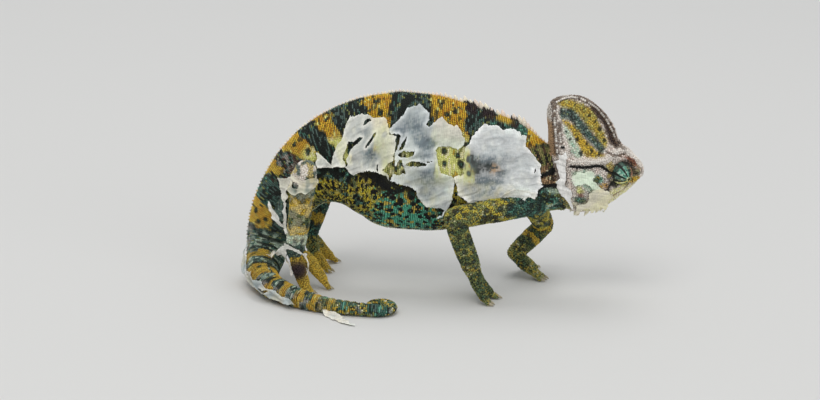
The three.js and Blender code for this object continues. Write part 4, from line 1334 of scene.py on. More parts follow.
def alongLine(line, pitch):  # points at even steps along a polyline
    line = np.array(line, float)
    reach = runLength(line)
    at = np.arange(pitch / 2, reach[-1], pitch)
    return np.stack([np.interp(at, reach, line[:, k]) for k in range(2)], -1)


def fromSide(flat, side):  # where the head's skin is, going in from its side at points of the side view
    found = []
    for across, up in flat:
        start = headToBody(np.array([[across, side * headRay["start"], up]]))[0]
        hit = skinBvh.ray_cast(Vector(start), Vector(headTurn[:, 1] * -side), headRay["length"])
        found.append(np.array(hit[0]) if hit[0] is not None else np.full(3, np.nan))
    return np.array(found)


def rowRoots():
    points, pitches, heights = [], [], []
    for line, (pitch, tall) in headRows.items():
        for side in (-1, 1):
            found = fromSide(alongLine(headLines[line], pitch), side)
            found = found[~np.isnan(found[:, 0])]
            points.append(found)
            pitches.append(np.full(len(found), pitch))
            heights.append(np.full(len(found), tall))
    return np.vstack(points), np.concatenate(pitches), np.concatenate(heights)


def sift(taken, takenApart, candidates, apart):  # keeps the candidates that have room
    cell, gap = scaleShape["cell"], scaleShape["gap"]
    grid = {}
    for p, a in zip(taken.tolist(), takenApart.tolist()):
        grid.setdefault(tuple(int(v // cell) for v in p), []).append((*p, a))
    around = [tuple(step) for step in np.array(list(np.ndindex(3, 3, 3))) - 1]
    kept = []
    for i, (p, a) in enumerate(zip(candidates.tolist(), apart.tolist())):
        cx, cy, cz = (int(v // cell) for v in p)
        near = (other for dx, dy, dz in around for other in grid.get((cx + dx, cy + dy, cz + dz), ()))
        if all((x - p[0]) ** 2 + (y - p[1]) ** 2 + (z - p[2]) ** 2 >= ((a + b) * gap) ** 2
               for x, y, z, b in near):
            grid.setdefault((cx, cy, cz), []).append((*p, a))
            kept.append(i)
    return np.array(kept, int)


def gatherRoots():
    points, lies, sizes = bodyRoots()
    points, normals, far = onSkin(points)
    held = (far < scaleShape["reach"]) & (points[:, 2] > scaleShape["floorGap"])
    points, normals, lies, sizes = (rows[held] for rows in (points, normals, lies, sizes))
    held = locate(points)["region"] == 0
    points, normals, lies, sizes = (rows[held] for rows in (points, normals, lies, sizes))
    candidates, apart = scatterRoots()
    above = candidates[:, 2] > scaleShape["floorGap"]
    candidates, apart = candidates[above], apart[above]
    rows, rowPitch, rowHeight = rowRoots()
    taken = np.vstack([points, rows])
    takenApart = np.concatenate([np.minimum(sizes[:, 0], sizes[:, 1]), rowPitch])
    kept = sift(taken, takenApart, candidates, apart)
    apart = np.concatenate([rowPitch, apart[kept]])
    tall = np.concatenate([rowHeight, np.ones(len(kept))])
    more, moreNormals, _ = onSkin(np.vstack([rows, candidates[kept]]))
    moreLies = unit(np.cross(moreNormals, [0.2, 1.0, 0.35]))
    turn = random.uniform(0, math.pi, len(more))[:, None]
    moreLies = moreLies * np.cos(turn) + np.cross(moreNormals, moreLies) * np.sin(turn)
    moreSizes = np.stack([apart * 1.06, apart * random.uniform(0.92, 1.06, len(apart)), tall], -1)
    return (np.vstack([points, more]), np.vstack([normals, moreNormals]), np.vstack([lies, moreLies]),
            np.vstack([sizes, moreSizes]))


rootPoints, rootNormals, rootLies, rootSizes = gatherRoots()
rootPlace = locate(rootPoints)
report(f"{len(rootPoints)} scale roots")


def rootMap(place, piece):  # a place on the unwrap of the skin for each root, 0 to 1 both ways
    if "back" in piece:
        low, high = piece["back"]
        u = (place["back"] - low) / (high - low)
        v = np.abs(place["angle"]) / math.pi if "left" in piece else place["angle"] / (2 * math.pi) + 0.5
    elif "limbs" not in piece:
        x, y, z = place["head"].T
        rear, front = headEdges(z)
        u = np.clip((x - rear) / (front - rear), 0, 1) * 0.46 + (y > 0) * 0.52
        v = (z + 17) / 46
    else:
        barRow = {i: n for n, i in enumerate(i for i, b in enumerate(bars) if b["limb"] in piece["limbs"])}
        cells = np.array([barRow[i] if i in barRow else 0 for i in place["bar"]])
        across = 4
        cellHeight = 1 / math.ceil(len(barRow) / across)
        u = (cells % across + 0.05 + 0.9 * place["share"]) / across
        v = (cells // across + 0.05 + 0.9 * (place["barAngle"] / (2 * math.pi) + 0.5)) * cellHeight
    return np.stack([0.01 + 0.98 * np.clip(u, 0, 1), 0.01 + 0.98 * np.clip(v, 0, 1), np.zeros(len(u))], -1)


def scaleTree():  # a pebble on every root, stood up, turned to its lie and sized, with its patch for a bake
    tree = bpy.data.node_groups.new("layScales", "GeometryNodeTree")
    add = partial(addNode, tree)
    addSockets(tree, "INPUT", [("Roots", "Geometry"), ("Depth", "Float", 0.0003), ("Cover", "Float", 0.55),
                               ("Patch Size", "Float", 0.003), ("Material", "Material")])
    addSockets(tree, "OUTPUT", [("Scales", "Geometry")])
    given = add("NodeGroupInput").outputs

    def named(name):
        return add("GeometryNodeInputNamedAttribute", {"Name": name}, data_type="FLOAT_VECTOR")

    def times(a, b):
        return add("ShaderNodeMath", {0: a, 1: b}, operation="MULTIPLY")

    pebble = add("GeometryNodeStoreNamedAttribute", {
        "Geometry": add("GeometryNodeMeshIcoSphere", {"Radius": 1, "Subdivisions": 1}), "Name": "patchPlace",
        "Value": add("GeometryNodeInputPosition")}, data_type="FLOAT_VECTOR", domain="POINT")
    stand = add("FunctionNodeAlignRotationToVector", {"Vector": named("facing")}, axis="Z")
    turn = add("FunctionNodeAlignRotationToVector", {"Rotation": stand, "Vector": named("lie")}, axis="X",
               pivot_axis="Z")
    size = add("ShaderNodeSeparateXYZ", {0: named("size")}).outputs
    spread = add("ShaderNodeCombineXYZ", {
        "X": times(size["X"], given["Cover"]), "Y": times(size["Y"], given["Cover"]),
        "Z": times(size["Z"], given["Depth"])})
    cloud = add("GeometryNodeMeshToPoints", {"Mesh": given["Roots"]})
    laid = add("GeometryNodeInstanceOnPoints", {
        "Points": cloud, "Instance": pebble, "Rotation": turn, "Scale": spread})
    real = add("GeometryNodeRealizeInstances", {"Geometry": laid})
    patch = add("ShaderNodeVectorMath", {
        0: named("patchPlace"), 1: times(given["Patch Size"], 0.5), 2: named("rootMap")},
        operation="MULTIPLY_ADD")
    last = add("GeometryNodeStoreNamedAttribute", {"Geometry": real, "Name": "OFBake", "Value": patch},
               data_type="FLOAT2", domain="CORNER")
    for name in ("patchPlace", "rootMap", "facing", "lie", "size"):
        last = add("GeometryNodeRemoveAttribute", {"Geometry": last, "Name": name})
    smooth = add("GeometryNodeSetShadeSmooth", {"Geometry": last})
    dress = add("GeometryNodeSetMaterial", {"Geometry": smooth, "Material": given["Material"]})
    add("NodeGroupOutput", {"Scales": dress})
    return tree


def growOn(name, tree, points, vectors, colours, inputs):  # runs a tree on points and keeps the plain mesh
    cloud = makeMesh(name + "Roots", points, [])
    for key, values in vectors.items():
        setVector(cloud.data, key, values)
    setColour(cloud.data, "tone", colours)
    grow = cloud.modifiers.new("grow", "NODES")
    grow.node_group = tree
    sockets = {item.name: item.identifier for item in tree.interface.items_tree if item.in_out == "INPUT"}
    for key, value in inputs.items():
        grow[sockets[key]] = value
    mesh = plainMesh(cloud)
    mesh.name = name
    return addObject(name, mesh)


# each piece: its stretch of the back line in mm and its side, or its limbs, or else the head; and its slot
coatPieces = {
    "scalesFlankRightFront": {"back": (0, 56), "left": False, "slot": "hide"},
    "scalesFlankRightRear": {"back": (56, 112), "left": False, "slot": "hide"},
    "scalesFlankLeftFront": {"back": (0, 56), "left": True, "slot": "hide"},
    "scalesFlankLeftRear": {"back": (56, 112), "left": True, "slot": "hide"},
    "scalesHips": {"back": (112, 160), "slot": "hide"},
    "scalesTail": {"back": (160, 300), "slot": "hide"},
    "scalesHead": {"slot": "casque_hide"},
    "scalesForelegs": {"limbs": ("forelegRight", "forelegLeft"), "slot": "limb_hide"},
    "scalesHindlegs": {"limbs": ("hindlegRight", "hindlegLeft"), "slot": "limb_hide"},
}


def pieceMask(piece):
    region, back = rootPlace["region"], rootPlace["back"]
    if "limbs" in piece:
        return np.isin(region, [mapNames.index(limb) for limb in piece["limbs"]])
    if "back" not in piece:
        return region == 1
    low, high = piece["back"]
    mask = (region == 0) & (back >= low) & (back < high)
    if "left" in piece:
        mask &= (rootPlace["angle"] >= 0) == piece["left"]
    return mask


layScales = scaleTree()
rootCoat = paint(rootPlace)
shadeEach = random.uniform(0.86, 1.14, (len(rootPoints), 1))
rootTone = np.clip(rootCoat["scale"] * shadeEach, 0, 1)
rootSizes[:, 2] *= random.uniform(0.8, 1.15, len(rootPoints))
for name, piece in coatPieces.items():
    mine = pieceMask(piece)
    vectors = {"facing": rootNormals[mine], "lie": rootLies[mine],
               "size": rootSizes[mine] * (metresPerMm, metresPerMm, 1),
               "rootMap": rootMap({key: values[mine] for key, values in rootPlace.items()}, piece)}
    inputs = {"Depth": scaleShape["height"] * metresPerMm, "Cover": scaleShape["cover"],
              "Patch Size": scaleShape["patch"], "Material": materials["scales"]}
    scales = growOn(name, layScales, rootPoints[mine], vectors, rootTone[mine], inputs)
    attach(scales, "root")
    report(f"{name}: {mine.sum()} scales, {len(scales.data.polygons)} faces")

# the crest of spines along the back and under the chin

backCrest = {  # pitches and heights go with mm along the back
    "from": 1.62,
    "to": 15,
    "pitches": [(0, 1.3), (16, 1.6), (20, 2.2), (44, 2), (56, 1.35), (300, 1.25)],
    "heights": [(0, 0.9), (14, 1.3), (19, 3.1), (36, 3.2), (46, 2.2), (56, 1.1), (100, 0.9), (140, 0.8),
                (170, 0.55), (220, 0.35)],
    "tones": ((255, 248, 222), (250, 230, 216)),  # each spine is somewhere between these
}
ridgeSpikes = {"pitch": 0.55, "radius": 0.5, "heights": (1.3, 2.3), "tone": (46, 40, 34)}
chinCrest = {
    "count": 13,
    "height": 3.3,
    "radius": 0.95,
    "line": [(13.4, 0, -8.6), (7.6, 0, -12.6), (1.6, 0, -15.4), (-5, 0, -15.4), (-10.4, 0, -12.8)],
    "tone": (232, 226, 196),
}
spike = {
    "sides": 8,
    "rows": 5,
    "lean": 0.22,  # how far its tip leans, as a share of its height
    "sunk": 0.6,  # how deep its foot goes, as a share of its radius
    "profile": ((0, 0.3, 0.7, 1), (0.8, 1.0, 0.55, 0.0)),  # leaf-shaped: how wide, going up
}


def spikes(bases, directions, alongs, radii, heights, thin=0.5):
    # curved, pointed, slightly flattened spikes; along is the way they flatten
    parts = []
    sides, rows, lean = spike["sides"], spike["rows"], spike["lean"]
    for base, up, along, radius, height in zip(bases, unit(directions), unit(alongs), radii, heights):
        along = unit(along - (along @ up) * up)
        ring, _ = circle(along, np.cross(up, along), sides, thin)
        rings = []
        for share in np.linspace(0, 1, rows + 1)[:-1]:
            width = radius * np.interp(share, *spike["profile"])
            rise = height * share - radius * spike["sunk"] * (share == 0)
            rings.append(base + up * rise + along * (lean * height * share**2) + width * ring)
        rings = np.array(rings)
        top = base + up * height + along * lean * height
        points = np.vstack([rings.reshape(-1, 3), top, rings[0].mean(0)])
        faces = [tuple(face) for face in ringFaces(rows, sides)]
        tip, foot = len(points) - 2, len(points) - 1
        for spot in range(sides):
            beside = (spot + 1) % sides
            faces.append(((rows - 1) * sides + spot, (rows - 1) * sides + beside, tip))
            faces.append((beside, spot, foot))
        parts.append((points, faces))
    return joinParts(parts)


def handOver(name, points, faces, tones, finish):  # a piece that faces out, in its tones and finish
    piece = makeMesh(name, points, faces)
    setColour(piece.data, "tone", tones)
    piece.data.materials.append(materials[finish])
    work = bmesh.new()
    work.from_mesh(piece.data)
    bmesh.ops.recalc_face_normals(work, faces=work.faces)
    work.to_mesh(piece.data)
    work.free()
    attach(piece, "root")
    return piece


def tuftSpikes():  # where the dark spikes stand in tufts just below the crest
    bases, directions = [], []
    for start, end in ridgeTufts:
        arcs = np.arange(start + 0.4, end, ridgeSpikes["pitch"])
        arcs = arcs + random.uniform(-0.15, 0.15, len(arcs))
        for side in (-1, 1):
            angles = side * random.uniform(0.1, 0.2, len(arcs))
            foot = bodyPoint(placeAtBack(arcs), angles, -coatDepth - 0.15)
            bases.append(foot)
            directions.append(bodyPoint(placeAtBack(arcs), angles * 0.7, 2.0) - foot)
    return np.vstack(bases), np.vstack(directions)


def addCrest():
    start, end = backAt(np.array([backCrest["from"], backCrest["to"]]))
    arcs = [start]
    while arcs[-1] < end:
        arcs.append(arcs[-1] + np.interp(arcs[-1], *np.array(backCrest["pitches"]).T))
    arcs = np.array(arcs) + random.uniform(-0.2, 0.2, len(arcs))
    f = axisAt(placeAtBack(arcs))
    shoulder = within(arcs, 17, 48, 4)
    height = np.interp(arcs, *np.array(backCrest["heights"]).T)
    height = height * random.uniform(0.82, 1.12, len(arcs))
    height = height * (1 - 0.4 * shoulder * (random.random(len(arcs)) < 0.3))
    bases = f["centre"] + f["up"] * (f["half"] - coatDepth - 0.15)[:, None]
    bases = bases + f["sideways"] * random.uniform(-0.15, 0.15, (len(arcs), 1))
    directions = f["up"] + 0.1 * f["along"] + f["sideways"] * random.uniform(-0.12, 0.12, (len(arcs), 1))
    radii = np.clip(0.32 + 0.26 * height, 0.42, 1.1)
    points, faces = spikes(bases, directions, f["along"], radii, height + 0.25)
    each = len(points) // len(arcs)
    cream, blush = (linear(tone) for tone in backCrest["tones"])
    base = cream + (blush - cream) * random.uniform(0, 1, (len(arcs), 1))
    under = paint(locate(bases))["scale"]
    base = base + (under * 1.2 - base) * (0.8 * ramp(arcs, 116, 134))[:, None]
    foot = base * 0.75 + under * 0.2
    shares = np.repeat(np.linspace(0, 1, spike["rows"] + 1)[:-1], spike["sides"])
    rise = np.clip(np.append(shares, (1, 0)) * 1.6, 0, 1)  # a spike's tip and foot come last
    tones = np.repeat(foot, each, 0)
    tones = tones + (np.repeat(base, each, 0) - tones) * np.tile(rise, len(arcs))[:, None]
    tuftBases, tuftWays = tuftSpikes()
    count = len(tuftBases)
    alongs = np.tile(np.array([-1.0, 0, 0.1]), (count, 1))
    radii, heights = np.full(count, ridgeSpikes["radius"]), random.uniform(*ridgeSpikes["heights"], count)
    tufts = spikes(tuftBases, tuftWays, alongs, radii, heights)
    dark = linear(ridgeSpikes["tone"]) * random.uniform(0.6, 1.6, (count, 1))
    points, faces = joinParts([(points, faces), tufts])
    tones = np.vstack([tones, np.repeat(dark, each, 0)])
    handOver("backCrest", points, faces, tones, "crest")


def addChin():
    count = chinCrest["count"]
    line = curveThrough(chinCrest["line"], np.linspace(0.05, 3.95, count))
    height = chinCrest["height"] * (0.3 + 0.7 * np.sin(np.linspace(0.03, 0.97, count) * math.pi) ** 0.8)
    height = height * random.uniform(0.5, 1.25, count)
    side = random.uniform(-0.5, 0.5, (count, 1))
    bases = line + side * (0, 1, 0) + (0, 0, 0.5)
    down = side * (0, 0.3, 0) + (-0.25, 0, -1)
    radii = np.full(count, chinCrest["radius"])
    alongs = np.tile(headTurn[:, 0], (count, 1)) * -1
    points, faces = spikes(headToBody(bases), down @ headTurn.T, alongs, radii, height)
    handOver("chinCrest", points, faces, linear(chinCrest["tone"]), "crest")


def addClaws():
    tips, aheads = (np.array(rows) for rows in zip(*clawPlaces))
    count = len(tips)
    bases = tips + aheads * 0.3 + (0, 0, 0.28)
    downwards = np.tile(np.array([0, 0, -1.0]), (count, 1))
    radii, lengths = np.full(count, toe["clawRadius"]), np.full(count, toe["clawLength"])
    points, faces = spikes(bases, aheads + (0, 0, -0.18), downwards, radii, lengths, thin=0.75)
    points[:, 2] = np.maximum(points[:, 2], toe["floorGap"])
    handOver("claws", points, faces, linear(toe["clawTone"]), "crest")


addCrest()
addChin()
addClaws()
report("crests and claws")

# the eyes: turrets of fused lids, each with a ball behind its small opening

turret = {"opening": 0.5, "ballRadius": 1.0, "rows": 64, "around": 96, "iris": (176, 128, 60),
          "white": (120, 92, 60), "pupil": (8, 8, 8)}
# wedges of the turret's pattern: degrees round from straight ahead, half the width in degrees, tone
eyeRays = [
    (104, 12, "turquoise"), (142, 17, "turquoise"), (184, 15, "slate"), (246, 12, "moss"),
    (272, 16, "olive"), (305, 22, "gold"), (335, 18, "olive"), (0, 20, "olive"), (38, 22, "rust"),
    (224, 11, "lemon"), (74, 14, "night"), (118, 7, "black"), (164, 7, "black"), (204, 6, "black"),
]


def revolve(outline, centre, look, around):  # rings of an outline of (radius, height along look)
    aside = unit(np.cross([0, 0, 1.0], look))
    ring, angles = circle(aside, np.cross(look, aside), around)
    return np.array([centre + look * high + radius * ring for radius, high in outline]), angles


def addEye(side):
    yaw, dip = math.radians(eye["yaw"]), math.radians(eye["dip"])
    look = unit(np.array([math.cos(yaw), side * math.sin(yaw), -math.sin(dip)]))
    centre = np.array([eye["x"], side * eye["y"], eye["z"]])
    gap, wide, reach = turret["opening"], eye["radius"], eye["reach"]
    rows, around = turret["rows"], turret["around"]
    outline = curveThrough([
        (wide, -2.6), (wide, 0.2), (wide * 0.93, reach * 0.34), (wide * 0.72, reach * 0.66),
        (wide * 0.44, reach * 0.87), (gap * 1.5, reach * 0.985), (gap, reach * 0.975),
        (gap * 0.95, reach * 0.86)], np.linspace(0, 7, rows))
    name = "eyeLeft" if side > 0 else "eyeRight"
    rings, angles = revolve(outline, centre, look, around)
    wrinkle = 0.07 * np.sin(np.arange(rows) * 1.05)[:, None] * (0.6 + 0.4 * np.cos(angles * 5)[None])
    bead = 0.04 * np.cos(angles * 34)[None] * np.cos(np.arange(rows) * 2.1)[:, None]
    swell = (wrinkle + bead) * ramp(outline[:, 0], gap, gap * 2)[:, None]
    rings = rings + unit(rings - centre) * swell[..., None]
    points, faces = closedLoft(rings)
    view = np.degrees(np.tile(angles if side < 0 else math.pi - angles, rows)) % 360
    ring = np.repeat(outline[:, 0] / wide, around)
    flat = headToBody(rings.reshape(-1, 3))
    coat = bareCoat(rows * around)
    lay, mosaic, _ = brushes(coat, flat, flat / 0.5)
    mosaic("teal", np.ones(len(ring)), 150)
    for index, (middle, half, tone) in enumerate(eyeRays):
        away = np.abs((view - middle + 180) % 360 - 180) + (noise(flat, 0.7, 151) - 0.5) * 5
        if tone == "black":
            lay(tone, 0.96 * ramp(away, half + 2.5, half - 1.5) * ramp(ring, 0.1, 0.3))
        else:
            mosaic(tone, 0.9 * ramp(away, half + 4, half - 4), 152 + index)
    # painted shade round the turret's foot, where it rises from the head
    lay("black", 0.8 * ramp(ring, 0.9, 0.98))
    lay("lemon", 0.7 * hump((ring, 0.2, 0.05)) * (0.4 + 0.6 * within(view, 90, 240, 40)))
    lay("black", ramp(ring, 0.135, 0.122))
    ends = np.tile(linear((10, 10, 9)), (2, 1))
    tones = np.vstack([coat["scale"], ends])
    piece = handOver(name + "Turret", headToBody(points), faces, tones, "scales")
    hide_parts("eye_left" if side > 0 else "eye_right")
    addBall(name + "Ball", centre + look * (reach * 0.93 - turret["ballRadius"]), look)


def addBall(name, centre, look):  # what the small opening shows of the eyeball: black pupil in a bronze ring
    turn = np.radians(np.linspace(-90, 90, 27)[1:-1])
    radius = turret["ballRadius"]
    outline = np.stack([radius * np.cos(turn), radius * np.sin(turn)], -1)
    rings, _ = revolve(outline, centre, look, 32)
    points, faces = closedLoft(rings)
    off = np.degrees(np.arccos(np.clip(unit(points - centre) @ look, -1, 1)))[:, None]
    iris, white, pupil = (linear(turret[part]) for part in ("iris", "white", "pupil"))
    tones = np.where(off < 15, pupil, np.where(off < 34, iris, white))
    handOver(name, headToBody(points), faces, tones, "wet")


addEye(1)
addEye(-1)
report("eyes")

# old skin that peels off in pale flakes

shedFilm = {
    "pale": (236, 234, 228),
    "grey": (120, 131, 138),  # where it is thin over dark skin
    "grid": 0.28,  # mm between its points
    "clear": 0.34,  # how far it floats over the skin
    "float": 0.45,  # the same over the flank
    "thickness": 0.08,
    "curl": 1.2,  # how far torn edges lift
    "curlReach": 1.1,
    "crumple": 0.36,
    "imprint": 0.035,  # the rows of scales that it has kept
    "tear": 0.13,  # raggedness of the torn edges
    "tearStep": 0.55,  # mm between their ragged points
    "bridge": 2,  # mm from the skin at most where a sheet lies on it
    "passes": (5, 8),  # of smoothing, where it lies on the skin and where it hangs
    "imprintCell": 0.62,  # mm, of the cells whose pattern it has kept
    "flankScale": 22.0,  # mm on the outline's map for the height from the middle of the flank to the ridge
}
